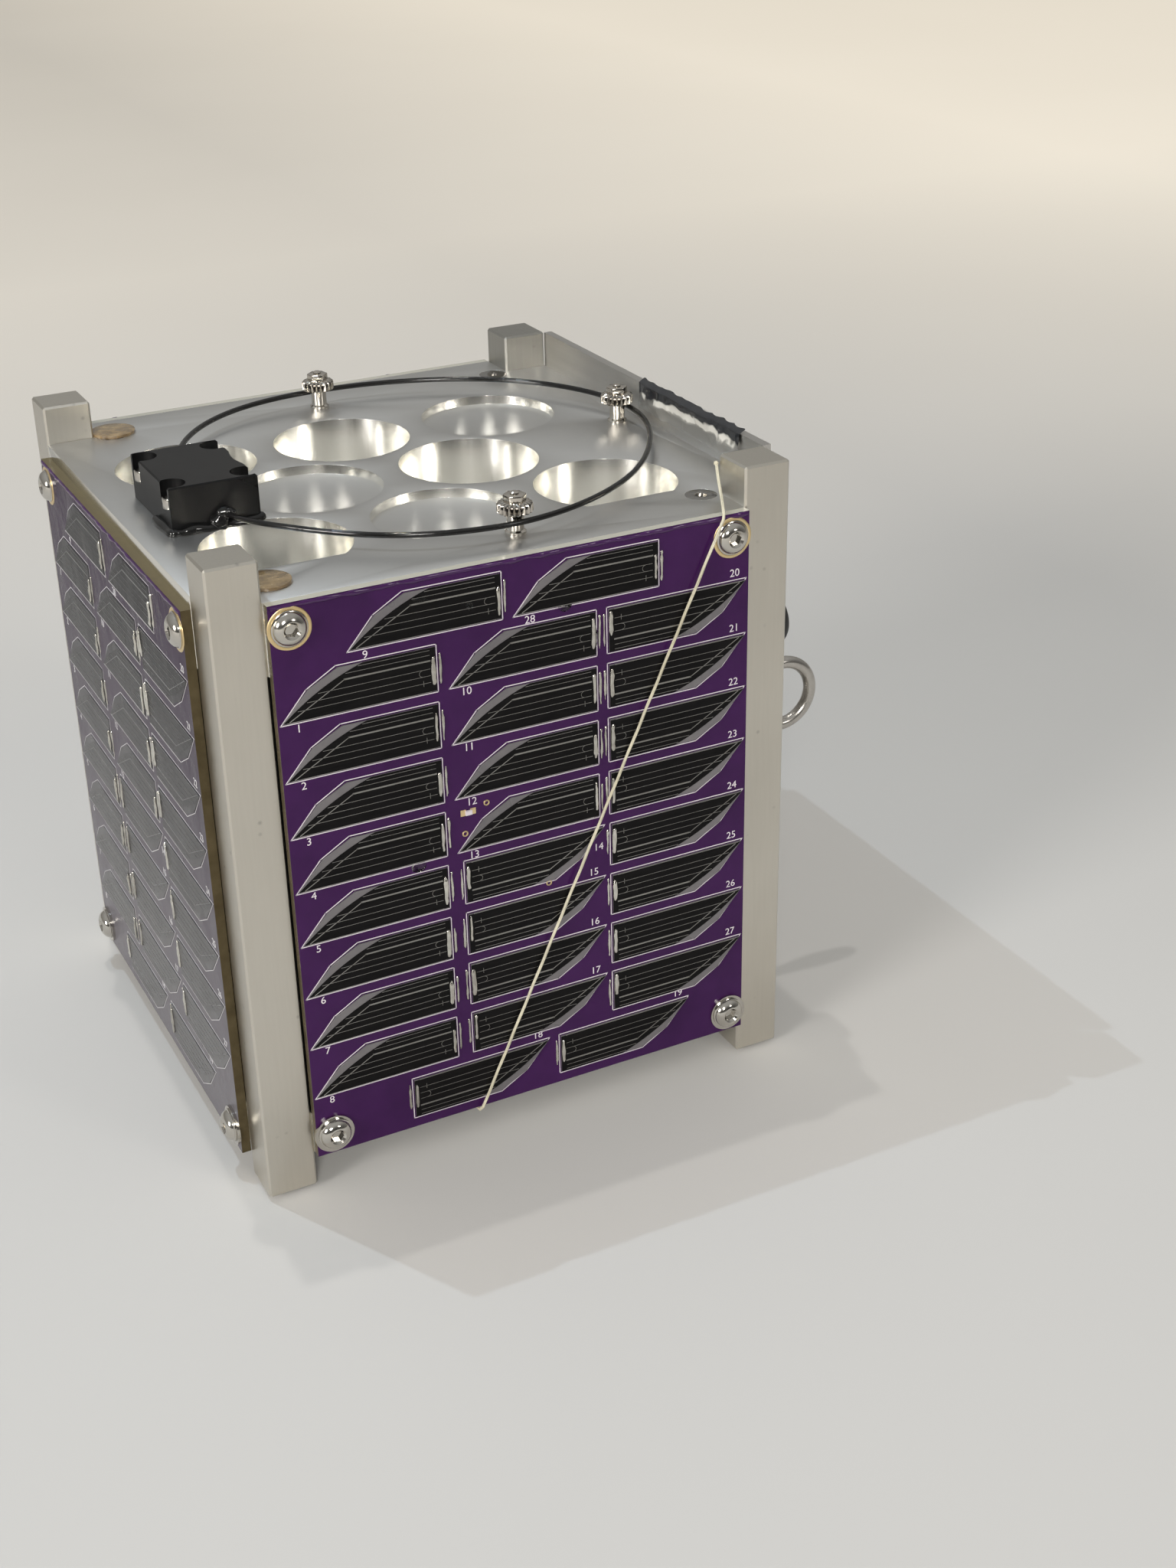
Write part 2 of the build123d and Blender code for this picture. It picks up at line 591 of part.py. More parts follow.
with BuildPart() as thread:
    for start, end in zip(THREAD_POINTS[:-1], THREAD_POINTS[1:]):
        run = Vector(*end) - Vector(*start)
        with Locations(Plane(origin=start, z_dir=tuple(run))):
            Cylinder(THREAD_DIA / 2, run.length, align=(Align.CENTER, Align.CENTER, Align.MIN))
    for point in THREAD_POINTS:
        with Locations(point):
            Sphere(THREAD_DIA / 2)
keep(thread.part, "tie_thread")

# ---------------------------------------------------------------- inside
STACK_GAP = 4.0            # between the stack and the pull pin's bush
STACK_SIDE = 2 * (HALF - PIN_SOCKET - STACK_GAP)
with BuildPart() as stack:
    box_between(
        (-STACK_SIDE / 2, -STACK_SIDE / 2, BOTTOM_Z1),
        (STACK_SIDE / 2, STACK_SIDE / 2, TOP_Z0),
    )
keep(stack.part, "electronics_stack")
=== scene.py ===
"""Looks of a one-unit cube satellite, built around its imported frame.

The satellite stands on its rail feet: four square rails, two milled end plates, three boards
of solar cells, a bare side panel with a pull pin, and an antenna wire held by three posts.
Sizes in the classes are millimetres and turn into metres where a mesh is made. Sizes in the
finishes are metres, and their fineness is in waves per metre.
"""

import logging
import math
import random
from contextlib import contextmanager
from dataclasses import dataclass, field
from enum import Enum
from typing import Any, Iterator, NamedTuple, Optional, Sequence

import bpy
from mathutils import Matrix, Vector, noise


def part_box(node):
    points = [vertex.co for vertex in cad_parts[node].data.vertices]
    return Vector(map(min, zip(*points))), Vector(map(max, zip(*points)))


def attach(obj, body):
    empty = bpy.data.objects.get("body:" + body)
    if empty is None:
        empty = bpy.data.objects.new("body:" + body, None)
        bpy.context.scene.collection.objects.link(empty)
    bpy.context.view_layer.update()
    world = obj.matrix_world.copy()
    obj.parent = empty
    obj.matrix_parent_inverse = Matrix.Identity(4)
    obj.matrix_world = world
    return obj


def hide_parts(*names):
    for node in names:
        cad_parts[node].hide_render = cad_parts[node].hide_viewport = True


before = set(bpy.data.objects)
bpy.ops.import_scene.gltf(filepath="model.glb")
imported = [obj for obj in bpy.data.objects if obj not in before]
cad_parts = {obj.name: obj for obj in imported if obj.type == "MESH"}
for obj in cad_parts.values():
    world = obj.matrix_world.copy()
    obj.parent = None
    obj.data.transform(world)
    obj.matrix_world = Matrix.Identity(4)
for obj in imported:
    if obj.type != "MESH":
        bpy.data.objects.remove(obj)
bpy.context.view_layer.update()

MM = 0.001
LOG = logging.getLogger("satellite")

Piece = bpy.types.Object
Material = bpy.types.Material
Colour = tuple[float, float, float]
Point = tuple[float, float, float]
Flat = tuple[float, float]


# ------------------------------------------------------------------------ modelling moves
def clear_selection() -> None:
    """Leaves nothing selected and nothing active."""
    bpy.ops.object.select_all(action="DESELECT")
    bpy.context.view_layer.objects.active = None


def take(piece: Piece) -> None:
    """Selects one piece alone and makes it active.

    Args:
        piece: the piece to work on.
    """
    clear_selection()
    piece.select_set(True)
    bpy.context.view_layer.objects.active = piece


@contextmanager
def editing(piece: Piece) -> Iterator[None]:
    """Opens one piece in edit mode with all of it selected.

    Args:
        piece: the mesh object to work on.

    Returns:
        A context in which the mesh operators act on the piece.
    """
    take(piece)
    bpy.ops.object.mode_set(mode="EDIT")
    bpy.ops.mesh.select_all(action="SELECT")
    try:
        yield
    finally:
        bpy.ops.object.mode_set(mode="OBJECT")


def named(name: str) -> Piece:
    """Names the piece that was just added.

    Args:
        name: the name for the object and its mesh.

    Returns:
        The piece.
    """
    piece = bpy.context.active_object
    piece.name = name
    piece.data.name = name
    return piece


def settle(piece: Piece) -> Piece:
    """Puts a piece's place, turn and size into its mesh.

    Args:
        piece: the piece that was placed.

    Returns:
        The same piece, at the origin.
    """
    take(piece)
    bpy.ops.object.transform_apply(location=True, rotation=True, scale=True)
    return piece


def shift(x: float, y: float, z: float) -> Matrix:
    """A move, given in millimetres."""
    return Matrix.Translation(Vector((x, y, z)) * MM)


def swing(degrees: float, axis: str) -> Matrix:
    """A turn about one axis, given in degrees."""
    return Matrix.Rotation(math.radians(degrees), 4, axis)


def block(name: str, low: Point, high: Point) -> Piece:
    """Adds a block between two corners.

    Args:
        name: the piece's name.
        low: lowest corner, in millimetres.
        high: highest corner, in millimetres.

    Returns:
        The block, with its place in its mesh.
    """
    clear_selection()
    bpy.ops.mesh.primitive_cube_add(size=1, location=[(a + b) / 2 * MM for a, b in zip(low, high)])
    piece = named(name)
    piece.scale = [(b - a) * MM for a, b in zip(low, high)]
    return settle(piece)


def placed(name: str, operator: Any, centre: Point, turn: Point = (0, 0, 0), **sizes: Any) -> Piece:
    """Adds a primitive.

    Args:
        name: the piece's name.
        operator: the operator that adds it.
        centre: its middle, in millimetres.
        turn: its turn about X, Y and Z, in degrees.
        sizes: the operator's own values.

    Returns:
        The piece, with its place in its mesh.
    """
    clear_selection()
    operator(location=[c * MM for c in centre], rotation=[math.radians(t) for t in turn], **sizes)
    return settle(named(name))


def disc(
    name: str, centre: Point, radius: float, height: float, sides: int, turn: Point = (0, 0, 0)
) -> Piece:
    """Adds a round or many-sided block.

    Args:
        name: the piece's name.
        centre: its middle, in millimetres.
        radius: its radius, in millimetres.
        height: its length along its own axis, in millimetres.
        sides: how many flats it has.
        turn: its turn about X, Y and Z, in degrees.

    Returns:
        The block.
    """
    add = bpy.ops.mesh.primitive_cylinder_add
    return placed(name, add, centre, turn, vertices=sides, radius=radius * MM, depth=height * MM)


def ball(name: str, centre: Point, radius: float, segments: int, rings: int) -> Piece:
    """Adds a ball.

    Args:
        name: the piece's name.
        centre: its middle, in millimetres.
        radius: its radius, in millimetres.
        segments: flats round its middle.
        rings: flats from pole to pole.

    Returns:
        The ball.
    """
    add = bpy.ops.mesh.primitive_uv_sphere_add
    return placed(name, add, centre, segments=segments, ring_count=rings, radius=radius * MM)


def hoop(name: str, centre: Point, radius: float, width: float, segments: int, sides: int) -> Piece:
    """Adds a ring that faces the front.

    Args:
        name: the piece's name.
        centre: its middle, in millimetres.
        radius: radius of its middle line, in millimetres.
        width: radius of its section, in millimetres.
        segments: flats round the ring.
        sides: flats round its section.

    Returns:
        The ring.
    """
    radii = {"major_radius": radius * MM, "minor_radius": width * MM}
    steps = {"major_segments": segments, "minor_segments": sides}
    return placed(name, bpy.ops.mesh.primitive_torus_add, centre, (90, 0, 0), **radii, **steps)


def turned(name: str, rings: Sequence[Flat], sides: int) -> Piece:
    """Adds a piece turned about Z, drawn up ring by ring.

    Args:
        name: the piece's name.
        rings: each ring's radius and height from foot to top, in millimetres.
        sides: how many flats make it round.

    Returns:
        The closed piece.
    """
    clear_selection()
    radius, height = rings[0]
    bpy.ops.mesh.primitive_circle_add(
        vertices=sides, radius=radius * MM, fill_type="NGON", location=(0, 0, height * MM)
    )
    piece = settle(named(name))
    with editing(piece):
        for (r0, z0), (r1, z1) in zip(rings, rings[1:]):
            bpy.ops.mesh.extrude_region_move(TRANSFORM_OT_translate={"value": (0, 0, (z1 - z0) * MM)})
            bpy.ops.transform.resize(value=(r1 / r0, r1 / r0, 1), center_override=(0, 0, z1 * MM))
        bpy.ops.mesh.select_all(action="SELECT")
        bpy.ops.mesh.normals_make_consistent(inside=False)
    return piece


def apply(piece: Piece, kind: str, **settings: Any) -> None:
    """Gives a piece a modifier and applies it.

    Args:
        piece: the piece.
        kind: the modifier's type.
        settings: its settings.
    """
    take(piece)
    modifier = piece.modifiers.new(kind.lower(), kind)
    for key, value in settings.items():
        setattr(modifier, key, value)
    bpy.ops.object.modifier_apply(modifier=modifier.name)


def cut_out(piece: Piece, tool: Piece) -> None:
    """Cuts a tool's shape out of a piece and removes the tool.

    Args:
        piece: what is cut.
        tool: the shape to take out.
    """
    apply(piece, "BOOLEAN", object=tool, solver="EXACT")
    drop(tool)


def cut_away(piece: Piece, point: Point, normal: Point) -> None:
    """Cuts off what lies on one side of a plane and closes the cut.

    Args:
        piece: what is cut.
        point: a point of the plane, in millimetres.
        normal: the way to the side that goes.
    """
    way = Vector(normal).normalized()
    with editing(piece):
        bpy.ops.mesh.bisect(plane_co=[c * MM for c in point], plane_no=way, use_fill=True, clear_outer=True)


def soften(piece: Piece, width: float, segments: int = 2, angle: float = 30) -> None:
    """Rounds a piece's edges.

    Args:
        piece: the piece to soften.
        width: the rounding's width, in millimetres.
        segments: its steps.
        angle: edges that turn less than this many degrees stay.
    """
    sizes = {"width": width * MM, "segments": segments, "angle_limit": math.radians(angle)}
    apply(piece, "BEVEL", limit_method="ANGLE", **sizes)


def smooth(piece: Piece, angle: float) -> Piece:
    """Shades a piece smooth, with sharper edges left crisp.

    Args:
        piece: the piece to shade.
        angle: edges that turn more than this many degrees stay crisp.

    Returns:
        The piece.
    """
    take(piece)
    bpy.ops.object.shade_smooth_by_angle(angle=math.radians(angle))
    return piece


def linked(name: str, data: Any) -> Piece:
    """Puts a curve, lamp or camera into the scene.

    Args:
        name: the object's name.
        data: what the object shows.

    Returns:
        The object.
    """
    piece = bpy.data.objects.new(name, data)
    bpy.context.scene.collection.objects.link(piece)
    return piece


def copy_of(piece: Piece, name: str, place: Matrix) -> Piece:
    """Copies a piece with a mesh of its own.

    Args:
        piece: the piece to copy.
        name: the copy's name.
        place: where the copy goes, from where the piece is.

    Returns:
        The copy.
    """
    twin = piece.copy()
    twin.data = piece.data.copy()
    twin.name = name
    bpy.context.scene.collection.objects.link(twin)
    twin.data.transform(place)
    return twin


def joined(name: str, pieces: Sequence[Piece]) -> Piece:
    """Joins pieces into one object.

    Args:
        name: the joined piece's name.
        pieces: what is joined, the first one leading.

    Returns:
        The joined piece.
    """
    clear_selection()
    for piece in pieces:
        piece.select_set(True)
    bpy.context.view_layer.objects.active = pieces[0]
    bpy.ops.object.join()
    return named(name)


def drop(piece: Piece) -> None:
    """Removes a tool, or a pattern piece once its copies are made."""
    bpy.data.objects.remove(piece, do_unlink=True)


def stir(piece: Piece, amount: float, scale: float, seed: float = 0.0) -> None:
    """Moves each vertex along its normal by smooth noise.

    Args:
        piece: the piece to roughen.
        amount: largest move, in millimetres.
        scale: size of one ripple, in millimetres.
        seed: shifts the noise, so that like pieces differ.
    """
    start = Vector((seed, 2 * seed, 3 * seed))
    for vertex in piece.data.vertices:
        ripple = noise.noise(vertex.co / (scale * MM) + start)
        vertex.co += vertex.normal * ripple * amount * MM
    piece.data.update()


def tube(name: str, path: Sequence[Vector], radius: float, roundness: int, fineness: int = 0) -> Piece:
    """Makes a tube along points.

    Args:
        name: the piece's name.
        path: its points, in millimetres.
        radius: its radius, in millimetres.
        roundness: steps in a quarter of its section.
        fineness: pieces of curve between two points. With 0 the runs are straight and the ends open.

    Returns:
        The tube as a mesh.
    """
    curve = bpy.data.curves.new(name, "CURVE")
    curve.dimensions = "3D"
    curve.bevel_depth = radius * MM
    curve.bevel_resolution = roundness
    spline = curve.splines.new("NURBS" if fineness else "POLY")
    spline.points.add(len(path) - 1)
    for point, co in zip(spline.points, path):
        point.co = (*(co * MM), 1)
    if fineness:
        curve.resolution_u = fineness
        curve.use_fill_caps = True
        spline.order_u = 3
        spline.use_endpoint_u = True
    take(linked(name, curve))
    bpy.ops.object.convert(target="MESH")
    return named(name)


def dress(piece: Piece, material: Material) -> None:
    """Gives a piece one material all over."""
    piece.data.materials.clear()
    piece.data.materials.append(material)


def fit(piece: Piece, material: Optional[Material] = None, node: str = "") -> None:
    """Lets a finished piece ride with the satellite.

    Args:
        piece: the piece.
        material: its finish, where it doesn't have it yet.
        node: the node that it stands for, where it stands for one.
    """
    if material:
        dress(piece, material)
    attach(piece, "satellite")
    if node:
        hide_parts(node)


# ------------------------------------------------------------------------ shader tools
class Desk:
    """Adds and links nodes in one node tree."""

    def __init__(self, tree: bpy.types.NodeTree) -> None:
        """Keeps the tree to work on."""
        self.tree = tree

    def add(self, kind: str, inputs: Optional[dict[Any, Any]] = None, **settings: Any) -> Any:
        """Adds a node.

        Args:
            kind: the node's type, without its ShaderNode prefix.
            inputs: values or sockets for its inputs, by name or number.
            settings: its own settings.

        Returns:
            The node.
        """
        node = self.tree.nodes.new("ShaderNode" + kind)
        for key, value in settings.items():
            setattr(node, key, value)
        self.fill(node, inputs or {})
        return node

    def fill(self, node: Any, inputs: dict[Any, Any]) -> None:
        """Links a node's inputs, or sets them to numbers, colours or vectors.

        Args:
            node: the node.
            inputs: a value or a socket for each input, by name or number.
        """
        for key, value in inputs.items():
            socket = node.inputs[key]
            if isinstance(value, bpy.types.NodeSocket):
                self.tree.links.new(value, socket)
            elif socket.type == "RGBA" and len(value) == 3:
                socket.default_value = (*value, 1)
            else:
                socket.default_value = value

    def group(self, effect: "Effect", **inputs: Any) -> Any:
        """Places an effect's node group and feeds it.

        Args:
            effect: the effect.
            inputs: its inputs by name. Its place is the object's own coordinates.

        Returns:
            The effect's socket.
        """
        node = self.tree.nodes.new("ShaderNodeGroup")
        node.node_tree = effect.tree()
        self.fill(node, {"Place": self.place(), **inputs})
        return node.outputs[0]

    def blend(self, share: Any, first: Any, second: Any) -> Any:
        """The socket of two colours mixed by a share."""
        return self.add("Mix", {0: share, 6: first, 7: second}, data_type="RGBA").outputs[2]

    def reach(self, value: Any, low: Any, high: Any, to_low: float = 0.0, to_high: float = 1.0) -> Any:
        """Maps a range of values onto another and returns the socket."""
        inputs = {0: value, 1: low, 2: high, 3: to_low, 4: to_high}
        return self.add("MapRange", inputs).outputs[0]

    def maths(self, operation: str, *values: Any) -> Any:
        """Works out one sum and returns its socket."""
        return self.add("Math", dict(enumerate(values)), operation=operation).outputs[0]

    def plus(self, first: Any, second: Any) -> Any:
        """Adds two values."""
        return self.maths("ADD", first, second)

    def times(self, first: Any, second: Any) -> Any:
        """Multiplies two values."""
        return self.maths("MULTIPLY", first, second)

    def most(self, first: Any, second: Any) -> Any:
        """Takes the larger of two values."""
        return self.maths("MAXIMUM", first, second)

    def split(self, vector: Any) -> Any:
        """The sockets of a vector's X, Y and Z."""
        return self.add("SeparateXYZ", {0: vector}).outputs

    def place(self) -> Any:
        """Object coordinates' socket."""
        return self.add("TexCoord").outputs["Object"]

    def facing(self) -> Any:
        """The sockets of the surface's direction, in X, Y and Z."""
        return self.split(self.add("NewGeometry").outputs["Normal"])

    def tone(self, grain: Any, patch: Any, share: float = 0.4) -> Any:
        """Mixes fine grain, by its share, with slow patches."""
        return self.plus(self.times(grain, share), self.times(patch, 1 - share))

    def bump(self, height: Any, strength: float, distance: float) -> Any:
        """The normal's socket of a surface raised by a pattern, its full height in metres."""
        return self.add("Bump", {"Strength": strength, "Distance": distance, "Height": height}).outputs[0]


class Effect:
    """A node group that several finishes share, built once."""

    name = "effect"
    inputs: tuple[tuple[str, str, Any], ...] = ()
    output = ("Value", "Float")

    def tree(self) -> bpy.types.NodeTree:
        """The group's tree, made on first use.

        Returns:
            The tree.
        """
        found = bpy.data.node_groups.get(self.name)
        if found:
            return found
        made = bpy.data.node_groups.new(self.name, "ShaderNodeTree")
        made.interface.new_socket("Place", in_out="INPUT", socket_type="NodeSocketVector")
        for label, kind, value in self.inputs:
            socket = made.interface.new_socket(label, in_out="INPUT", socket_type="NodeSocket" + kind)
            if value is not None:
                socket.default_value = value
        label, kind = self.output
        made.interface.new_socket(label, in_out="OUTPUT", socket_type="NodeSocket" + kind)
        source = made.nodes.new("NodeGroupInput")
        sink = made.nodes.new("NodeGroupOutput")
        made.links.new(self.wire(Desk(made), source.outputs), sink.inputs[label])
        return made

    def wire(self, desk: Desk, source: Any) -> Any:
        """Builds the group's inside.

        Args:
            desk: adds nodes to the group.
            source: the group's inputs, by name.

        Returns:
            The socket that the group puts out.
        """
        raise NotImplementedError


class Grain(Effect):
    """Fine lines or specks: noise stretched by its own size along each axis."""

    name = "grain"
    inputs = (("Fineness", "Vector", (1, 1, 1)), ("Detail", "Float", 4.0))
    output = ("Lines", "Float")
    # the part of the noise's range that is spread out
    kept = (0.3, 0.7)

    def wire(self, desk: Desk, source: Any) -> Any:
        """Stretches noise and spreads it over the whole range.

        Args:
            desk: adds nodes to the group.
            source: the group's inputs, by name.

        Returns:
            The socket that the group puts out.
        """
        stretched = desk.add("VectorMath", {0: source["Place"], 1: source["Fineness"]}, operation="MULTIPLY")
        inputs = {"Vector": stretched.outputs[0], "Scale": 1.0, "Detail": source["Detail"]}
        return desk.reach(desk.add("TexNoise", inputs).outputs[0], *self.kept)


class Drift(Effect):
    """Slow change over a surface, as from handling, uneven coating or old film."""

    name = "drift"
    inputs = (("Scale", "Float", 40.0), ("Low", "Float", 0.35), ("High", "Float", 0.65))
    output = ("Patch", "Float")

    def wire(self, desk: Desk, source: Any) -> Any:
        """Takes soft noise between two limits.

        Args:
            desk: adds nodes to the group.
            source: the group's inputs, by name.

        Returns:
            The socket that the group puts out.
        """
        cloud = desk.add("TexNoise", {"Vector": source["Place"], "Scale": source["Scale"], "Detail": 3.0})
        return desk.reach(cloud.outputs[0], source["Low"], source["High"])


class Nicks(Effect):
    """Small dents and dust specks, scattered thinly."""

    name = "nicks"
    inputs = (("Scale", "Float", 600.0), ("Share", "Float", 0.08))
    output = ("Spots", "Float")
    # the second noise: its scale over the cells' own, and the values between which spots appear
    coarse = 0.3
    kept = (0.55, 0.62)

    def wire(self, desk: Desk, source: Any) -> Any:
        """Keeps the middles of scattered cells, thinned out by a second noise.

        Args:
            desk: adds nodes to the group.
            source: the group's inputs, by name.

        Returns:
            The socket that the group puts out.
        """
        cells = desk.add("TexVoronoi", {"Vector": source["Place"], "Scale": source["Scale"]})
        spots = desk.reach(cells.outputs["Distance"], source["Share"], 0.0)
        wide = desk.times(source["Scale"], self.coarse)
        sparse = desk.add("TexNoise", {"Vector": source["Place"], "Scale": wide})
        return desk.times(spots, desk.reach(sparse.outputs[0], *self.kept))


class Haze(Effect):
    """Painted light: a board's colour painted paler towards the feet, standing in for its lighter reflection
    low down.
    """

    name = "haze"
    inputs = (("Body", "Color", None), ("Share", "Float", 0.5))
    output = ("Colour", "Color")
    # where the painted paling starts and where it is strongest, up the satellite, and the colour it pales
    # towards
    heights = (0.115, 0.02)
    cloud = (0.3, 0.296, 0.3)

    def wire(self, desk: Desk, source: Any) -> Any:
        """Paints the body colour paler from the upper plate down.

        Args:
            desk: adds nodes to the group.
            source: the group's inputs, by name.

        Returns:
            The socket that the group puts out.
        """
        height = desk.split(source["Place"])[2]
        # painted light: the share of paling grows towards the feet
        thick = desk.times(desk.reach(height, *self.heights), source["Share"])
        return desk.blend(thick, source["Body"], self.cloud)

    def over(self, desk: Desk, body: Any, share: float) -> Any:
        """The body colour's socket with the painted paling over it, where there is any."""
        return desk.group(self, Body=body, Share=share) if share else body


GRAIN = Grain()
DRIFT = Drift()
NICKS = Nicks()
PAINTED_PALING = Haze()


def new_material(name: str) -> tuple[Material, Desk, Any]:
    """Starts a material.

    Args:
        name: its name.

    Returns:
        The material, a desk for its nodes and its Principled shader.
    """
    material = bpy.data.materials.new(name)
    material.use_nodes = True
    material.node_tree.nodes.clear()
    desk = Desk(material.node_tree)
    shader = desk.add("BsdfPrincipled")
    desk.add("OutputMaterial", {0: shader.outputs[0]})
    return material, desk, shader


# ------------------------------------------------------------------------ finishes
def even(waves: float) -> Point:
    """The same fineness along X, Y and Z."""
    return (waves, waves, waves)


@dataclass(frozen=True)
class Finish:
    """A material's name and what goes into its Principled shader."""

    name: str

    def build(self) -> Material:
        """Makes the material.

        Returns:
            The material, its shader fed.
        """
        material, desk, shader = new_material(self.name)
        desk.fill(shader, self.wire(desk))
        return material

    def wire(self, desk: Desk) -> dict[str, Any]:
        """Wires what feeds the shader.

        Args:
            desk: adds nodes to the material.

        Returns:
            A value or a socket for each input of the shader, by name.
        """
        raise NotImplementedError


@dataclass(frozen=True)
class Metal(Finish):
    """Machined, drawn or plated metal."""

    colour: Colour
    shade: Colour
    roughness: float = 0.35
    spread: float = 0.1
    lines: Point = even(300.0)
    relief: float = 0.1
    nicks: float = 0.0
    patch: float = 30.0
    share: float = 0.4
    groove: float = 0.0
    nick_scale: float = 420.0
    nick_share: float = 0.2
    # colour of nicks and dust specks, and of the painted shade in rib hollows
    dirt: Colour = (0.16, 0.15, 0.14)
    depth: float = 0.0001

    def wire(self, desk: Desk) -> dict[str, Any]:
        """Wires grain over slow patches, with dark nicks and painted shade in the hollows between ribs.

        Args:
            desk: adds nodes to the material.

        Returns:
            A value or a socket for each input, by name.
        """
        grain = desk.group(GRAIN, Fineness=self.lines, Detail=5.0)
        tone = desk.tone(grain, desk.group(DRIFT, Scale=self.patch), self.share)
        spots = desk.group(NICKS, Scale=self.nick_scale, Share=self.nick_share)
        marks_and_shade = desk.times(spots, self.nicks)
        # painted shade: the hollows between ribs are darkened
        if self.groove:
            shaded_grooves = desk.add("Attribute", attribute_name="groove").outputs["Fac"]
            marks_and_shade = desk.most(marks_and_shade, desk.times(shaded_grooves, self.groove))
        half = self.spread / 2
        height = desk.maths("SUBTRACT", grain, desk.times(spots, 2 * self.nicks))
        return {
            "Base Color": desk.blend(marks_and_shade, desk.blend(tone, self.shade, self.colour), self.dirt),
            "Roughness": desk.reach(tone, 0.0, 1.0, self.roughness + half, self.roughness - half),
            "Normal": desk.bump(height, self.relief, self.depth),
            "Metallic": 1.0,
        }


@dataclass(frozen=True)
class Milled(Metal):
    """Metal milled from a block: fine satin faces, and cutter lines up its walls, whose colour is painted
    brighter.
    """

    # painted light: walls take a brighter, warmer colour than the faces, for their brighter reflections
    wall_colour: Colour = (0.97, 0.955, 0.9)
    wall_lines: Point = (1100.0, 1100.0, 25.0)
    wall_roughness: float = 0.2
    steep: float = 0.5

    def wire(self, desk: Desk) -> dict[str, Any]:
        """Wires the faces' grain, and the cutter's lines and the painted brighter colour on what stands
        upright.

        Args:
            desk: adds nodes to the material.

        Returns:
            A value or a socket for each input, by name.
        """
        wall = desk.maths("LESS_THAN", desk.maths("ABSOLUTE", desk.facing()[2]), self.steep)
        flat = desk.group(GRAIN, Fineness=self.lines)
        upright = desk.group(GRAIN, Fineness=self.wall_lines)
        grain = desk.plus(desk.times(upright, wall), desk.times(flat, desk.maths("SUBTRACT", 1.0, wall)))
        tone = desk.tone(grain, desk.group(DRIFT, Scale=self.patch), self.share)
        rough = desk.reach(wall, 0.0, 1.0, self.roughness, self.wall_roughness)
        spread = desk.reach(tone, 0.0, 1.0, self.spread / 2, -self.spread / 2)
        return {
            "Base Color": desk.blend(wall, desk.blend(tone, self.shade, self.colour), self.wall_colour),
            "Roughness": desk.plus(rough, spread),
            "Normal": desk.bump(grain, self.relief, self.depth),
            "Metallic": 1.0,
        }


@dataclass(frozen=True)
class Coated(Finish):
    """Paint, mask, plastic or resin: a coloured body under a glossy or dull skin."""

    colour: Colour
    shade: Colour
    roughness: float = 0.3
    spread: float = 0.1
    fineness: Point = even(500.0)
    relief: float = 0.1
    depth: float = 0.0001
    patch: float = 40.0
    coat: float = 0.0
    coat_roughness: float = 0.05
    ior: float = 1.5
    # how strongly the colour is painted paler towards the feet: painted light
    haze: float = 0.0

    def wire(self, desk: Desk) -> dict[str, Any]:
        """Wires the body, the painted paling over it and the skin.

        Args:
            desk: adds nodes to the material.

        Returns:
            A value or a socket for each input, by name.
        """
        grain = desk.group(GRAIN, Fineness=self.fineness)
        patch = desk.group(DRIFT, Scale=self.patch)
        body = desk.blend(desk.tone(grain, patch), self.shade, self.colour)
        half = self.spread / 2
        return {
            "Base Color": PAINTED_PALING.over(desk, body, self.haze),
            "Roughness": desk.reach(patch, 0.0, 1.0, self.roughness - half, self.roughness + half),
            "Normal": desk.bump(grain, self.relief, self.depth),
            "Coat Weight": self.coat,
            "Coat Roughness": self.coat_roughness,
            "IOR": self.ior,
        }


@dataclass(frozen=True)
class Mask(Coated):
    """Solder mask over a board's faces, with bare glass fibre along its cut edges, painted lighter where
    they face up or down.
    """

    along: int = 0
    # painted light: the fibre's colour on faces up and down, lighter than on the sides
    top_colour: Colour = (0.43, 0.41, 0.345)
    edge_colour: Colour = (0.11, 0.09, 0.058)
    edge_shade: Colour = (0.07, 0.057, 0.036)
    fibre: Point = even(350.0)
    steep: float = 0.7

    def wire(self, desk: Desk) -> dict[str, Any]:
        """Wires the mask, and the fibre on faces that point up, down or along the board, those up and down
        painted lighter.

        Args:
            desk: adds nodes to the material.

        Returns:
            A value or a socket for each input, by name.
        """
        sockets = super().wire(desk)
        fibre = desk.group(GRAIN, Fineness=self.fibre, Detail=3.0)
        facing = desk.facing()
        up = desk.maths("ABSOLUTE", facing[2])
        side = desk.maths("ABSOLUTE", facing[self.along])
        edge = desk.blend(fibre, self.edge_shade, self.edge_colour)
        # painted light: cut faces that point up or down take the lighter colour
        edge = desk.blend(desk.maths("GREATER_THAN", up, self.steep), edge, self.top_colour)
        cut = desk.maths("GREATER_THAN", desk.most(up, side), self.steep)
        sockets["Base Color"] = desk.blend(cut, sockets["Base Color"], edge)
        return sockets


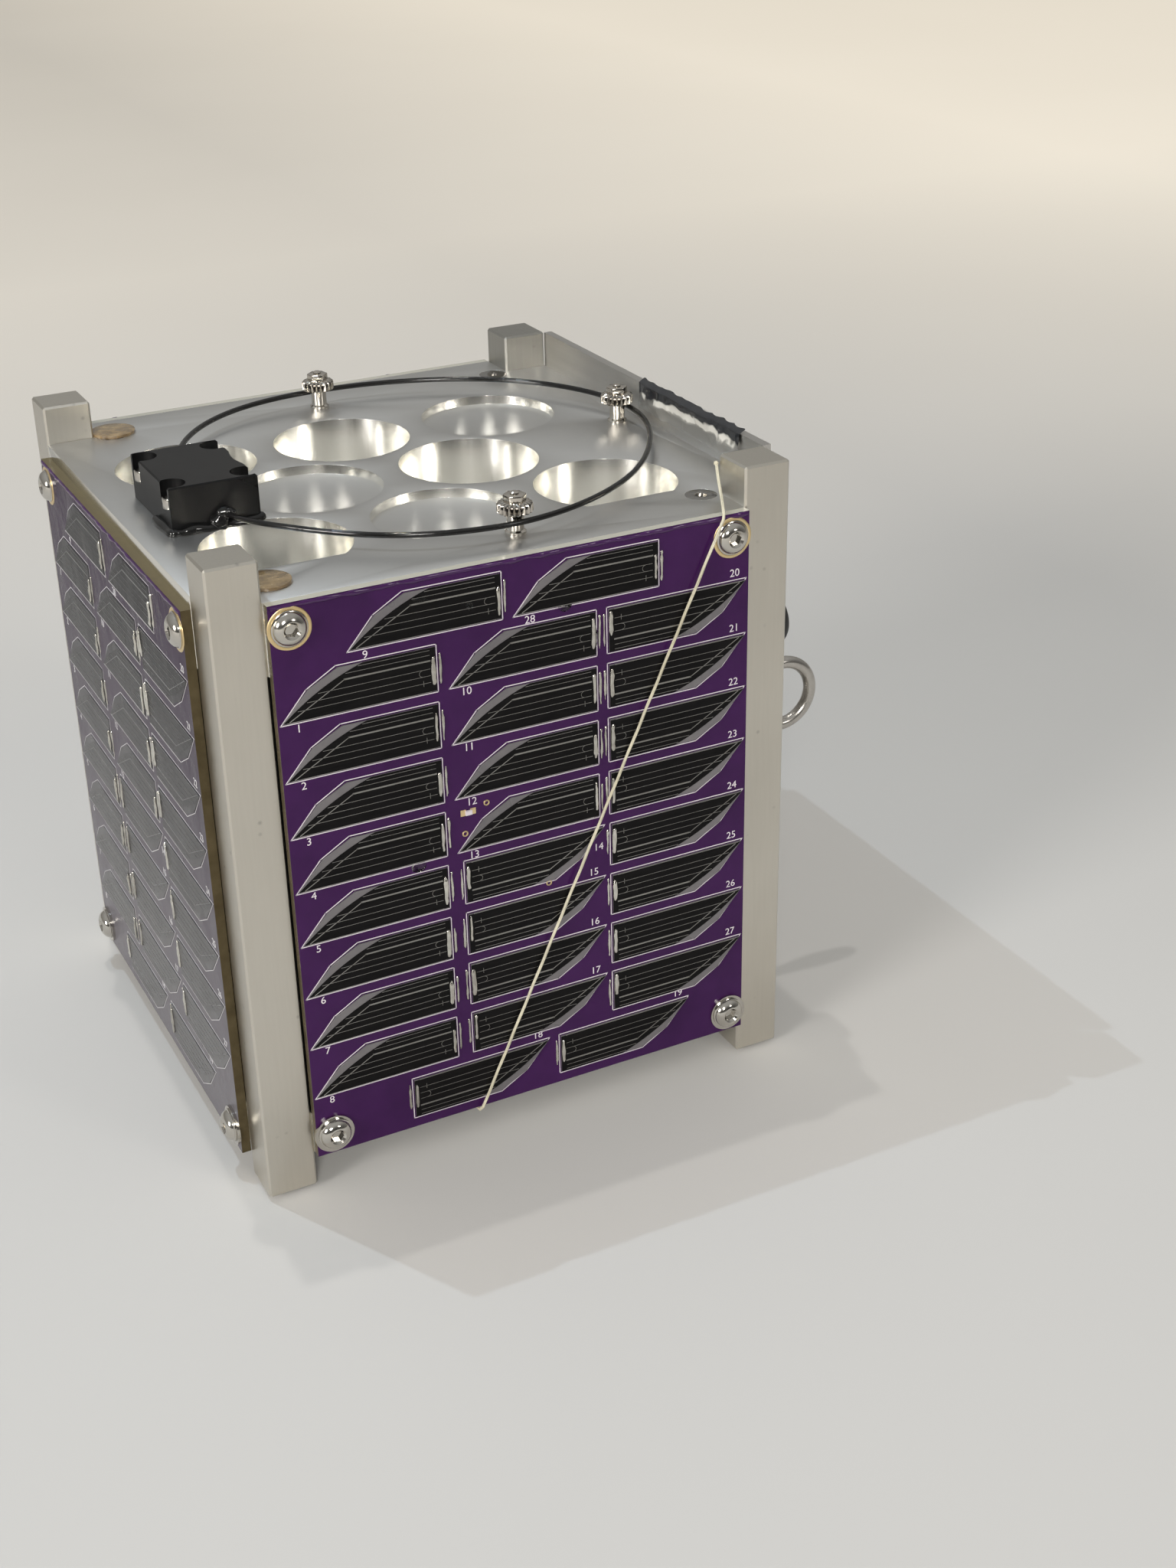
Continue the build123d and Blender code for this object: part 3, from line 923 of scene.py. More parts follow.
@dataclass(frozen=True)
class Silicon(Finish):
    """Dark wafers that turn grey and mirror-like under a thick wavy coat; part of the grey is painted
    paling, where it is set.
    """

    colour: Colour = (0.0075, 0.007, 0.0072)
    shade: Colour = (0.0045, 0.0043, 0.0045)
    roughness: float = 0.22
    wave: float = 0.05
    wave_scale: float = 220.0
    ior: float = 1.17
    haze: float = 0.0
    lines: Point = (300.0, 300.0, 2500.0)
    depth: float = 0.0006
    # how far the lines lower and raise the roughness
    uneven: Flat = (0.8, 1.2)

    def wire(self, desk: Desk) -> dict[str, Any]:
        """Wires fine level lines under the coat's slow swell.

        Args:
            desk: adds nodes to the material.

        Returns:
            A value or a socket for each input, by name.
        """
        grain = desk.group(GRAIN, Fineness=self.lines, Detail=2.0)
        swell = desk.group(DRIFT, Scale=self.wave_scale, Low=0.2, High=0.8)
        body = desk.blend(grain, self.shade, self.colour)
        return {
            "Base Color": PAINTED_PALING.over(desk, body, self.haze),
            "Roughness": desk.reach(grain, 0.0, 1.0, *(share * self.roughness for share in self.uneven)),
            "Normal": desk.bump(swell, self.wave, self.depth),
            "IOR": self.ior,
        }


@dataclass(frozen=True)
class Clear(Finish):
    """Clear coating that shows mostly its highlights."""

    tint: Colour = (1.0, 1.0, 1.0)
    roughness: float = 0.05
    ior: float = 1.45
    ripple: float = 0.3
    fineness: float = 400.0
    depth: float = 0.0002
    # how far the ripple darkens the tint, and lowers and raises the roughness
    dim: float = 0.94
    uneven: Flat = (0.6, 1.6)

    def wire(self, desk: Desk) -> dict[str, Any]:
        """Wires a clear body with a rippled skin.

        Args:
            desk: adds nodes to the material.

        Returns:
            A value or a socket for each input, by name.
        """
        ripple = desk.group(DRIFT, Scale=self.fineness, Low=0.2, High=0.8)
        return {
            "Base Color": desk.blend(ripple, tuple(self.dim * c for c in self.tint), self.tint),
            "Roughness": desk.reach(ripple, 0.0, 1.0, *(share * self.roughness for share in self.uneven)),
            "Normal": desk.bump(ripple, self.ripple, self.depth),
            "Transmission Weight": 1.0,
            "IOR": self.ior,
        }


@dataclass(frozen=True)
class Foil(Finish):
    """Thin crumpled film: dark along its upper edge, with pale glints painted as highlights and clear
    patches below.
    """

    top: float
    dark: Colour = (0.018, 0.019, 0.021)
    pale: Colour = (0.62, 0.6, 0.545)
    grey: Colour = (0.23, 0.226, 0.21)
    # in millimetres: the dark band's height, how far its edge sways, how tall the glints are, over
    # what height they fade, and half the height over which the dark turns to pale
    band: float = 2.4
    sway: float = 1.8
    flame: float = 1.7
    fade: float = 0.6
    soft: float = 0.2
    scale: float = 150.0
    # the noise between whose values the edge sways and the glints show, how much the clear film and
    # a glint cover, and the roughness of the film and of a glint
    sway_range: Flat = (0.3, 0.7)
    glint_range: Flat = (0.45, 0.51)
    cover: float = 0.45
    glint_cover: float = 0.9
    gloss: Flat = (0.1, 0.22)

    def wire(self, desk: Desk) -> dict[str, Any]:
        """Wires the swaying band and the painted glints under it, clear in between.

        Args:
            desk: adds nodes to the material.

        Returns:
            A value or a socket for each input, by name.
        """
        sway = desk.group(DRIFT, Scale=self.scale, Low=self.sway_range[0], High=self.sway_range[1])
        lowest = self.top - (self.band + self.sway / 2) * MM
        edge = desk.maths("MULTIPLY_ADD", sway, self.sway * MM, lowest)
        above = desk.maths("SUBTRACT", desk.split(desk.place())[2], edge)
        upper = desk.reach(above, -self.soft * MM, self.soft * MM)
        # painted highlights: pale glints painted into the colour below the band
        glint = desk.group(DRIFT, Scale=self.scale, Low=self.glint_range[0], High=self.glint_range[1])
        pale = desk.times(glint, desk.reach(above, -self.flame * MM, (self.fade - self.flame) * MM))
        return {
            "Base Color": desk.blend(upper, desk.blend(pale, self.grey, self.pale), self.dark),
            "Alpha": desk.most(desk.most(upper, desk.times(pale, self.glint_cover)), self.cover),
            "Roughness": desk.reach(pale, 0.0, 1.0, *self.gloss),
        }


# each metal: colour, shade, roughness and its spread, fineness of its lines, relief, nicks
RAIL_LINES = (1800.0, 1800.0, 90.0)
RAIL_METAL = Metal(
    "rail_metal", (0.665, 0.63, 0.56), (0.6, 0.568, 0.503), 0.34, 0.06, RAIL_LINES, 0.03, 0.5, share=0.3
)
# painted shade: a darker copy of the rails' metal for the back right rail
SHADED_RAIL = Metal(
    "shaded_rail", (0.44, 0.43, 0.39), (0.36, 0.35, 0.32), 0.36, 0.08, RAIL_LINES, 0.03, 0.5, share=0.3
)
PLATE_METAL = Milled(
    "plate_metal", (0.69, 0.685, 0.665), (0.62, 0.615, 0.6), 0.38, 0.06, even(160.0), 0.004, 0.1
)
PANEL_METAL = Metal(
    "panel_metal", (0.68, 0.66, 0.62), (0.54, 0.525, 0.5), 0.3, 0.15, (500.0, 30.0, 500.0), 0.1, 0.2
)
SCREW_STEEL = Metal(
    "screw_steel", (0.62, 0.595, 0.55), (0.53, 0.505, 0.46), 0.13, 0.06, even(400.0), 0.02, 0.1
)
SEAT_STEEL = Metal("seat_steel", (0.4, 0.39, 0.37), (0.3, 0.29, 0.275), 0.14, 0.08, even(400.0), 0.05, 0.2)
# the nuts' rib hollows are painted dark: painted shade
POST_NICKEL = Metal(
    "post_nickel", (0.66, 0.62, 0.56), (0.5, 0.465, 0.41), 0.13, 0.08, even(500.0), 0.02, groove=0.95
)
PIN_STEEL = Metal("pin_steel", (0.6, 0.57, 0.53), (0.42, 0.4, 0.37), 0.25, 0.12, even(600.0), 0.1, 0.2)
SOLDER = Metal("solder", (0.86, 0.84, 0.78), (0.36, 0.34, 0.3), 0.2, 0.14, (1500.0, 1500.0, 900.0), 0.5)
SILVER_GRID = Metal("silver_grid", (0.42, 0.41, 0.385), (0.25, 0.243, 0.228), 0.4, 0.1, even(500.0), 0.05)
GOLD = Metal("gold_pad", (0.86, 0.69, 0.4), (0.76, 0.57, 0.29), 0.36, 0.12, even(300.0), 0.05)
FOOT_STEEL = Metal("foot_steel", (0.5, 0.48, 0.45), (0.3, 0.29, 0.27), 0.35, 0.1, even(500.0), 0.1)

# each coating: colour, shade, roughness and its spread, fineness, relief
BLACK_PLASTIC = Coated(
    "black_plastic", (0.008, 0.008, 0.0085), (0.004, 0.004, 0.004), 0.3, 0.1, even(300.0), 0.04, ior=1.27
)
BLACK_RESIN = Coated("black_resin", (0.01, 0.01, 0.01), (0.005, 0.005, 0.005), 0.09, 0.06, even(300.0), 0.1)
PURPLE_BEAD = Coated(
    "purple_bead", (0.05, 0.011, 0.077), (0.036, 0.008, 0.055), 0.1, 0.04, even(300.0), 0.1
)
WIRE_BLACK = Coated(
    "wire_black", (0.008, 0.0075, 0.007), (0.004, 0.004, 0.004), 0.16, 0.08, even(400.0), 0.1
)
CAP_RUBBER = Coated("cap_rubber", (0.02, 0.02, 0.02), (0.01, 0.01, 0.01), 0.45, 0.15, even(700.0), 0.2)
STACK_DARK = Coated("stack_dark", (0.03, 0.035, 0.04), (0.015, 0.015, 0.02), 0.6, 0.1, even(300.0), 0.2)
PRINT_WHITE = Coated(
    "print_white", (0.78, 0.72, 0.76), (0.6, 0.54, 0.6), 0.35, 0.1, even(900.0), 0.1, coat=0.6
)
WAFER_GREY = Coated(
    "wafer_grey", (0.145, 0.135, 0.14), (0.1, 0.093, 0.1), 0.3, 0.1, even(700.0), 0.1, coat=0.6
)
BROWN_RESIN = Coated(
    "brown_resin", (0.36, 0.25, 0.12), (0.1, 0.062, 0.028), 0.2, 0.15, even(500.0), 0.5, 0.0004, 420.0,
    coat=0.5,
)
THREAD_CREAM = Coated(
    "thread_cream", (0.66, 0.62, 0.49), (0.47, 0.43, 0.31), 0.6, 0.2, even(2500.0), 0.5
)

# the solar boards; the left one has a wavier skin and is painted paler towards its feet, painted light
PURPLE = ((0.047, 0.0105, 0.072), (0.033, 0.007, 0.051), 0.14, 0.08, even(260.0), 0.04)
FRONT_MASK = Mask("front_mask", *PURPLE, patch=60.0, ior=1.27)
BACK_MASK = Mask("back_mask", *PURPLE, patch=60.0, ior=1.27)
# the left board's wavy skin, and its painted paling towards the feet: painted light
LEFT_SKIN_AND_PAINTED_PALING = {"relief": 0.4, "depth": 0.0007, "ior": 1.1, "haze": 0.42}
LEFT_MASK = Mask(
    "left_mask", (0.034, 0.018, 0.043), (0.022, 0.01, 0.03), 0.2, 0.1, even(110.0), patch=60.0, along=1,
    top_colour=(0.11, 0.09, 0.052), edge_colour=(0.085, 0.067, 0.037), edge_shade=(0.055, 0.043, 0.023),
    **LEFT_SKIN_AND_PAINTED_PALING,
)
LEFT_GREY = Coated(
    "left_grey", (0.034, 0.032, 0.036), (0.02, 0.019, 0.022), 0.2, 0.1, even(110.0), **LEFT_SKIN_AND_PAINTED_PALING
)
FRONT_SILICON = Silicon("front_silicon")
BACK_SILICON = Silicon("back_silicon")
LEFT_SILICON = Silicon(
    "left_silicon", (0.016, 0.016, 0.017), (0.009, 0.009, 0.01), 0.2, 0.45, 80.0, 1.1, 0.42
)
LEFT_GRID = Metal("left_grid", (0.3, 0.295, 0.3), (0.16, 0.157, 0.16), 0.3, 0.1, even(500.0), 0.05)
LEFT_PRINT = Coated("left_print", (0.82, 0.8, 0.82), (0.58, 0.565, 0.58), 0.2, 0.1, even(300.0), 0.1)
COATING = Clear("clear_coating", ior=1.33)


# ------------------------------------------------------------------------ frame and plates
class BoardSide(Enum):
    """A side of the satellite: its turn about Z from the front, in degrees."""

    FRONT = 0
    LEFT = -90
    BACK = 180
    RIGHT = 90

    @property
    def label(self) -> str:
        """The side's name as the frame's nodes have it."""
        return self.name.lower()

    @property
    def turn(self) -> Matrix:
        """Turns a piece modelled on the front to this side."""
        return swing(self.value, "Z")

    def box(self, node: str) -> tuple[Vector, Vector]:
        """Reads a node's corners as if this side were the front.

        Args:
            node: the node's name.

        Returns:
            Its lowest and its highest corner, in millimetres.
        """
        corners = [self.turn.inverted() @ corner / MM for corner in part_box(node)]
        low = Vector([min(a, b) for a, b in zip(*corners)])
        high = Vector([max(a, b) for a, b in zip(*corners)])
        return low, high


@dataclass
class MetalFrame:
    """Rails, feet, end plates, side panel and the plain pieces that keep their own shape."""

    def dress(self) -> None:
        """Gives each of the frame's own nodes its finish; a later line wins over an earlier one."""
        rail = RAIL_METAL.build()
        plate = PLATE_METAL.build()
        panel = PANEL_METAL.build()
        screw = SCREW_STEEL.build()
        finishes = {
            "rail_": rail,
            # the back right rail takes the darker copy: painted shade
            "rail_back_right": SHADED_RAIL.build(),
            "separation_feet": FOOT_STEEL.build(),
            "top_plate": plate,
            "bottom_plate": plate,
            "side_panel": panel,
            "pin_socket": panel,
            "board_screws_": screw,
            "board_washers_": screw,
            "plate_screws_": SEAT_STEEL.build(),
            "antenna_posts": POST_NICKEL.build(),
            "pull_pin": PIN_STEEL.build(),
            "port_cap": CAP_RUBBER.build(),
            "electronics_stack": STACK_DARK.build(),
            "antenna_box": BLACK_PLASTIC.build(),
            "antenna_wire": WIRE_BLACK.build(),
            "antenna_box_screws": screw,
            "solar_board_front": FRONT_MASK.build(),
            "solar_board_left": LEFT_MASK.build(),
            "solar_board_back": BACK_MASK.build(),
        }
        for node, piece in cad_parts.items():
            for start, material in finishes.items():
                if node.startswith(start):
                    dress(piece, material)
        LOG.info("frame: %d nodes dressed", len(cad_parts))


@dataclass
class BrokenEdge:
    """A node drawn with its sharp edges broken, so that they catch the light."""

    node: str
    slot: str
    width: float
    steps: int = 2
    angle: float = 50
    merge: float = 0.01

    def build(self, material: Optional[Material] = None) -> None:
        """Softens a merged copy of the node and puts it in the node's place.

        Args:
            material: its finish, where it isn't the node's own.
        """
        piece = copy_of(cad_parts[self.node], f"{self.node}_edged", Matrix.Identity(4))
        piece.hide_render = False
        piece.parent = None
        with editing(piece):
            bpy.ops.mesh.remove_doubles(threshold=self.merge * MM)
        soften(piece, self.width, self.steps, self.angle)
        fit(smooth(piece, self.angle), material, self.node)
        LOG.info("edges of %s", self.node)


# ------------------------------------------------------------------------ solar boards
@dataclass
class SolarCell:
    """One wing-shaped cell with its square end at x = 0, its tip at the left, on the front."""

    length: float = 25.5
    height: float = 7.5
    thick: float = 0.3
    edge: float = 0.3
    shoulder: float = 9.5
    facet_x: float = 4.5
    facet_z: float = 4.9
    # how far the wafer's and the dark area's faces lie behind the cell's full thickness
    wafer_sink: float = 0.04
    dark_sink: float = 0.01
    dark_thick: float = 0.04
    dark_foot: float = 0.12
    arc_x: float = -1.3
    arc_z: float = -27.6
    arc_radius: float = 36.7
    line_z: tuple[float, ...] = (1.7, 2.85, 4.0, 6.3, 7.1)
    line_width: float = 0.07
    line_lift: float = 0.02
    line_inset: float = 1.0
    line_stop: float = 0.5
    bus_z: float = 5.35
    bus_width: float = 0.26
    bus_end: float = -15.4
    slope_end: Flat = (0.9, 0.25)
    foot_z: float = 0.07
    foot_width: float = 0.12
    tick_inset: float = 1.2
    tick_half: float = 0.45
    hook_inset: float = 1.3
    hook_radius: float = 0.55
    print_width: float = 0.16
    print_lift: float = 0.03

    @property
    def tall(self) -> float:
        """Height of the printed outline."""
        return self.height + 2 * self.edge

    @property
    def outline(self) -> list[Flat]:
        """Corners of the printed outline.

        Returns:
            Their x and z, from the lower square corner round to the tip.
        """
        tip = -self.length - 2 * self.edge
        return [
            (0, 0),
            (0, self.tall),
            (self.shoulder + tip, self.tall),
            (self.facet_x + tip, self.facet_z + self.edge),
            (tip, 0),
        ]

    def wafer(self) -> Piece:
        """The whole wafer's grey body, its two corners clipped off.

        Returns:
            The wafer.
        """
        left = -self.edge - self.length
        low = (left, self.wafer_sink - self.thick, self.edge)
        piece = block("wafer", low, (-self.edge, 0, self.edge + self.height))
        facets = ((self.shoulder, self.height), (self.facet_x, self.facet_z), (0, 0))
        corners = [(left + x, self.edge + z) for x, z in facets]
        for (x0, z0), (x1, z1) in zip(corners, corners[1:]):
            cut_away(piece, (x0, 0, z0), (z1 - z0, 0, x0 - x1))
        return piece

    def silicon(self) -> Piece:
        """The dark active area: a large disc cut down to the wafer, so its top runs in an arc.

        Returns:
            The dark area.
        """
        depth = self.dark_sink + self.dark_thick / 2 - self.thick
        centre = (self.arc_x - self.edge, depth, self.arc_z + self.edge)
        piece = disc("silicon", centre, self.arc_radius, self.dark_thick, 160, (90, 0, 0))
        cut_away(piece, (0, 0, self.edge + self.dark_foot), (0, 0, -1))
        cut_away(piece, (0, 0, self.edge + self.height), (0, 0, 1))
        cut_away(piece, (-self.edge, 0, 0), (1, 0, 0))
        return piece

    def arc_reach(self, z: float) -> float:
        """x where the dark area's arc crosses a height."""
        return self.arc_x - math.sqrt(self.arc_radius**2 - (z - self.arc_z) ** 2)

    def strip(self, start: Flat, end: Flat, width: float, lift: float, face: float) -> Piece:
        """One straight printed or plated line.

        Args:
            start: its first end, x and z.
            end: its second end.
            width: its width.
            lift: how far it stands off the face.
            face: y of the face that it lies on.

        Returns:
            The line, as a thin bar.
        """
        run = Vector((end[0] - start[0], 0, end[1] - start[1]))
        half = run.length / 2 + width / 2
        bar = block("strip", (-half, face - lift, -width / 2), (half, face, width / 2))
        lean = Matrix.Rotation(-math.atan2(run.z, run.x), 4, "Y")
        bar.data.transform(shift((start[0] + end[0]) / 2, 0, (start[1] + end[1]) / 2) @ lean)
        return bar

    def grid(self) -> Piece:
        """Plated lines: thin ones, the thick one with its slope to the tip, a tick and a hook.

        Returns:
            The lines, joined.
        """
        fine = self.line_width
        square = -self.edge - self.line_inset
        bus = (self.bus_end, self.edge + self.bus_z)
        tip = (self.slope_end[0] - self.length, self.edge + self.slope_end[1])
        foot = self.edge + self.foot_z
        tick = self.edge + self.line_z[0]
        hook = self.edge + (self.line_z[1] + self.line_z[2]) / 2
        runs = []
        for z in self.line_z:
            end = self.arc_reach(z) - self.edge + self.line_stop
            runs.append(((square, self.edge + z), (end, self.edge + z), fine))
        runs.append(((square, bus[1]), bus, self.bus_width))
        runs.append((bus, tip, 2 * fine))
        runs.append(((square, foot), (self.line_stop - self.length, foot), self.foot_width))
        tick_x = square - self.tick_inset
        runs.append(((tick_x, tick - self.tick_half), (tick_x, tick + self.tick_half), fine))
        turns = [math.radians(a) for a in range(90, 271, 30)]
        hook_x, radius = square - self.hook_inset, self.hook_radius
        bend = [(hook_x + radius * math.cos(a), hook + radius * math.sin(a)) for a in turns]
        runs += [(start, end, fine) for start, end in zip(bend, bend[1:])]
        face = self.dark_sink - self.thick
        lines = [self.strip(start, end, width, self.line_lift, face) for start, end, width in runs]
        return joined("grid", lines)

    def printed(self) -> Piece:
        """The white outline printed on the board round the cell.

        Returns:
            The outline.
        """
        corners = self.outline
        ends = zip(corners, corners[1:] + corners[:1])
        lines = [self.strip(start, end, self.print_width, self.print_lift, 0.0) for start, end in ends]
        return joined("print", lines)


class Seat(NamedTuple):
    """Where a cell goes: its square end, lower edge, tip (-1 left, 1 right) and number."""

    x: float
    z: float
    tip: int
    number: int


@dataclass
class SolarBoard:
    """Everything that lies on one solar board, modelled as seen from the front."""

    side: BoardSide
    seed: int
    cell: SolarCell = field(default_factory=SolarCell)
    rows: int = 10
    margin_x: float = 0.4
    margin_z: float = 1.8
    column_gap: float = 1.85
    end_row_gap: float = 1.8
    top_shift: float = -2.5
    bottom_shift: float = 3.3
    lower_shift: float = 0.9
    # a number's height, its letter size over that, and how far it stands off the board
    digit: float = 1.4
    digit_body: float = 1.35
    ink: float = 0.015
    tip_inset: Flat = (2.9, 2.25)
    number_gap: Flat = (1.0, 1.2)
    moved_number: tuple[int, float, float] = (14, 1.0, -5.2)
    # the solder bar on a cell's end: its place across and out, its depth, and its ranges
    bar_place: Flat = (-0.7, -0.24)
    bar_depth: float = 0.5
    bar_width: Flat = (0.5, 0.85)
    bar_height: Flat = (4.2, 5.4)
    bar_foot: Flat = (0.6, 1.6)
    # the thin bar beside the outline: its place and section, and its ranges
    thin_place: Flat = (0.5, -0.02)
    thin_section: Flat = (0.42, 0.4)
    thin_height: Flat = (4.8, 6.0)
    thin_foot: Flat = (0.8, 1.4)
    thin_seed: int = 50
    # powers that square off a bar's section and its ends, and how uneven it is
    bar_powers: Flat = (0.7, 0.55)
    bar_stir: Flat = (0.26, 0.75)
    seed_step: float = 1.7
    rim_radius: float = 0.34
    rim_inset: float = 0.4
    rim_drop: float = 0.15
    rim_flat: float = 0.6
    rim_stir: Flat = (0.35, 2.4)
    rim_steps: int = 120

    def __post_init__(self) -> None:
        """Reads the board's place from the frame."""
        low, high = self.side.box(f"solar_board_{self.side.label}")
        self.width = high.x - low.x
        self.tall = high.z - low.z
        self.place = self.side.turn @ shift(0, low.y, low.z)
        self.dice = random.Random(self.seed)

    @property
    def span(self) -> float:
        """Width of a cell's printed outline."""
        return (self.width - 2 * self.margin_x - 2 * self.column_gap) / 3

    def seats(self) -> list[Seat]:
        """Each cell's seat: two in the top row, four columns of eight or four, two in the lowest.

        Returns:
            The 28 seats, in the order in which the solder is dealt out.
        """
        span = self.span
        pitch = (self.tall - 2 * self.margin_z - self.cell.tall) / (self.rows - 1)
        row = [self.margin_z + i * pitch for i in range(self.rows)]
        column = span / 2 + self.column_gap
        half = self.rows // 2
        gap = self.end_row_gap / 2
        left, right = self.top_shift - gap, self.top_shift + gap + span
        top = [Seat(left, row[-1], -1, 9), Seat(right, row[-1], -1, 28)]
        left, right = self.bottom_shift - gap - span, self.bottom_shift + gap
        lowest = [Seat(left, row[0], 1, 18), Seat(right, row[0], 1, 19)]
        lines = (
            (-column, row[1:-1], -1, 1),
            (span / 2, row[half:-1], -1, 10),
            (self.lower_shift - span / 2, row[1:half], 1, 14),
            (column, row[1:-1], 1, 20),
        )
        middle = []
        for x, heights, tip, first in lines:
            middle += [Seat(x, z, tip, first + i) for i, z in enumerate(reversed(heights))]
        return top + middle + lowest

    def at(self, seat: Seat) -> Matrix:
        """Where a cell's pattern goes on this board; a tip to the right is turned half round."""
        place = self.place @ shift(seat.x, 0, seat.z)
        return place if seat.tip < 0 else place @ shift(0, 0, self.cell.tall) @ swing(180, "Y")

    def spread(self, pattern: Piece, name: str) -> Piece:
        """Copies one cell's pattern piece to every cell and joins the copies.

        Args:
            pattern: the piece, which is removed.
            name: the joined piece's name, before the side's.

        Returns:
            The joined piece.
        """
        copies = [copy_of(pattern, name, self.at(seat)) for seat in self.seats()]
        drop(pattern)
        return joined(f"{name}_{self.side.label}", copies)

    def bars(self) -> Piece:
        """Solder bars: a lump on each cell's square end and a thin one beside its outline.

        Returns:
            The bars, joined.
        """
        lumps = []
        for index, seat in enumerate(self.seats()):
            base = self.at(seat)
            wide = self.dice.uniform(*self.bar_width)
            tall = self.dice.uniform(*self.bar_height)
            middle = self.dice.uniform(*self.bar_foot) + tall / 2
            size = (wide, self.bar_depth, tall)
            lumps.append(self.lump(base, (*self.bar_place, middle), size, index))
            tall = self.dice.uniform(*self.thin_height)
            middle = self.dice.uniform(*self.thin_foot) + tall / 2
            size = (*self.thin_section, tall)
            lumps.append(self.lump(base, (*self.thin_place, middle), size, index + self.thin_seed))
        return joined(f"solder_bars_{self.side.label}", lumps)

    def lump(self, base: Matrix, centre: Point, size: Point, seed: float) -> Piece:
        """One uneven bar of solder, brought down from a ball one metre wide.

        Args:
            base: the cell's place on the board.
            centre: the bar's middle on the cell's own plane.
            size: its size across, out and up.
            seed: shifts its unevenness.

        Returns:
            The bar.
        """
        piece = ball("lump", (0, 0, 0), 0.5 / MM, 12, 10)
        section, ends = self.bar_powers
        powers = (section, section, ends)
        for vertex in piece.data.vertices:
            vertex.co = [math.copysign(abs(2 * c) ** p / 2, c) for c, p in zip(vertex.co, powers)]
        piece.data.transform(Matrix.Diagonal((*(s * MM for s in size), 1)))
        stir(piece, *self.bar_stir, seed * self.seed_step)
        piece.data.transform(base @ shift(*centre))
        return smooth(piece, 60)

    def number(self, x: float, z: float, text: str) -> Piece:
        """Prints a plain number on the board.

        Args:
            x: its middle across the board.
            z: its middle up the board.
            text: the number.

        Returns:
            The number as a mesh.
        """
        clear_selection()
        bpy.ops.object.text_add()
        letters = bpy.context.active_object.data
        letters.body = text
        letters.size = self.digit * self.digit_body * MM
        letters.extrude = self.ink * MM
        letters.align_x = "CENTER"
        letters.align_y = "CENTER"
        letters.resolution_u = 3
        bpy.ops.object.convert(target="MESH")
        piece = named("number")
        piece.data.transform(self.place @ shift(x, -self.ink, z) @ swing(90, "X"))
        return piece

    def numbers(self) -> Piece:
        """The cells' numbers, each under or over its cell's tip, and one moved aside.

        Returns:
            The numbers, joined.
        """
        pieces = []
        under, over = self.number_gap
        odd, *aside = self.moved_number
        for seat in self.seats():
            x = seat.x + seat.tip * (self.span - self.tip_inset[seat.tip > 0])
            z = seat.z - under if seat.tip < 0 else seat.z + self.cell.tall + over
            across, rise = aside if seat.number == odd else (0.0, 0.0)
            pieces.append(self.number(x + across, z + rise, str(seat.number)))
        return joined(f"numbers_{self.side.label}", pieces)

    def rim(self) -> Piece:
        """Models the glossy bead where the coating gathers along the board's top edge.

        Returns:
            The bead.
        """
        half = self.width / 2 - self.rim_inset
        steps = self.rim_steps
        path = [Vector((-half + 2 * half * i / steps, 0, 0)) for i in range(steps + 1)]
        piece = tube(f"coating_rim_{self.side.label}", path, self.rim_radius, 4, 1)
        stir(piece, *self.rim_stir, self.seed)
        piece.data.transform(Matrix.Diagonal((1, self.rim_flat, 1, 1)))
        piece.data.transform(self.place @ shift(0, 0, self.tall - self.rim_radius - self.rim_drop))
        return smooth(piece, 80)

    def build(self, silicon: Material, shared: dict[str, Material]) -> None:
        """Builds and dresses all that lies on the board.

        Args:
            silicon: the dark areas' material.
            shared: the board's other materials, by name.
        """
        wafers = self.spread(self.cell.wafer(), "wafers")
        fit(wafers, shared["grey"], f"solar_cells_{self.side.label}")
        fit(self.spread(self.cell.silicon(), "silicon"), silicon)
        fit(self.spread(self.cell.grid(), "grid_lines"), shared["grid"])
        fit(self.spread(self.cell.printed(), "outlines"), shared["print"])
        fit(self.numbers(), shared["print"])
        fit(self.bars(), shared["solder"])
        fit(self.rim(), shared["rim"])
        LOG.info("board %s: %d cells", self.side.label, len(self.seats()))


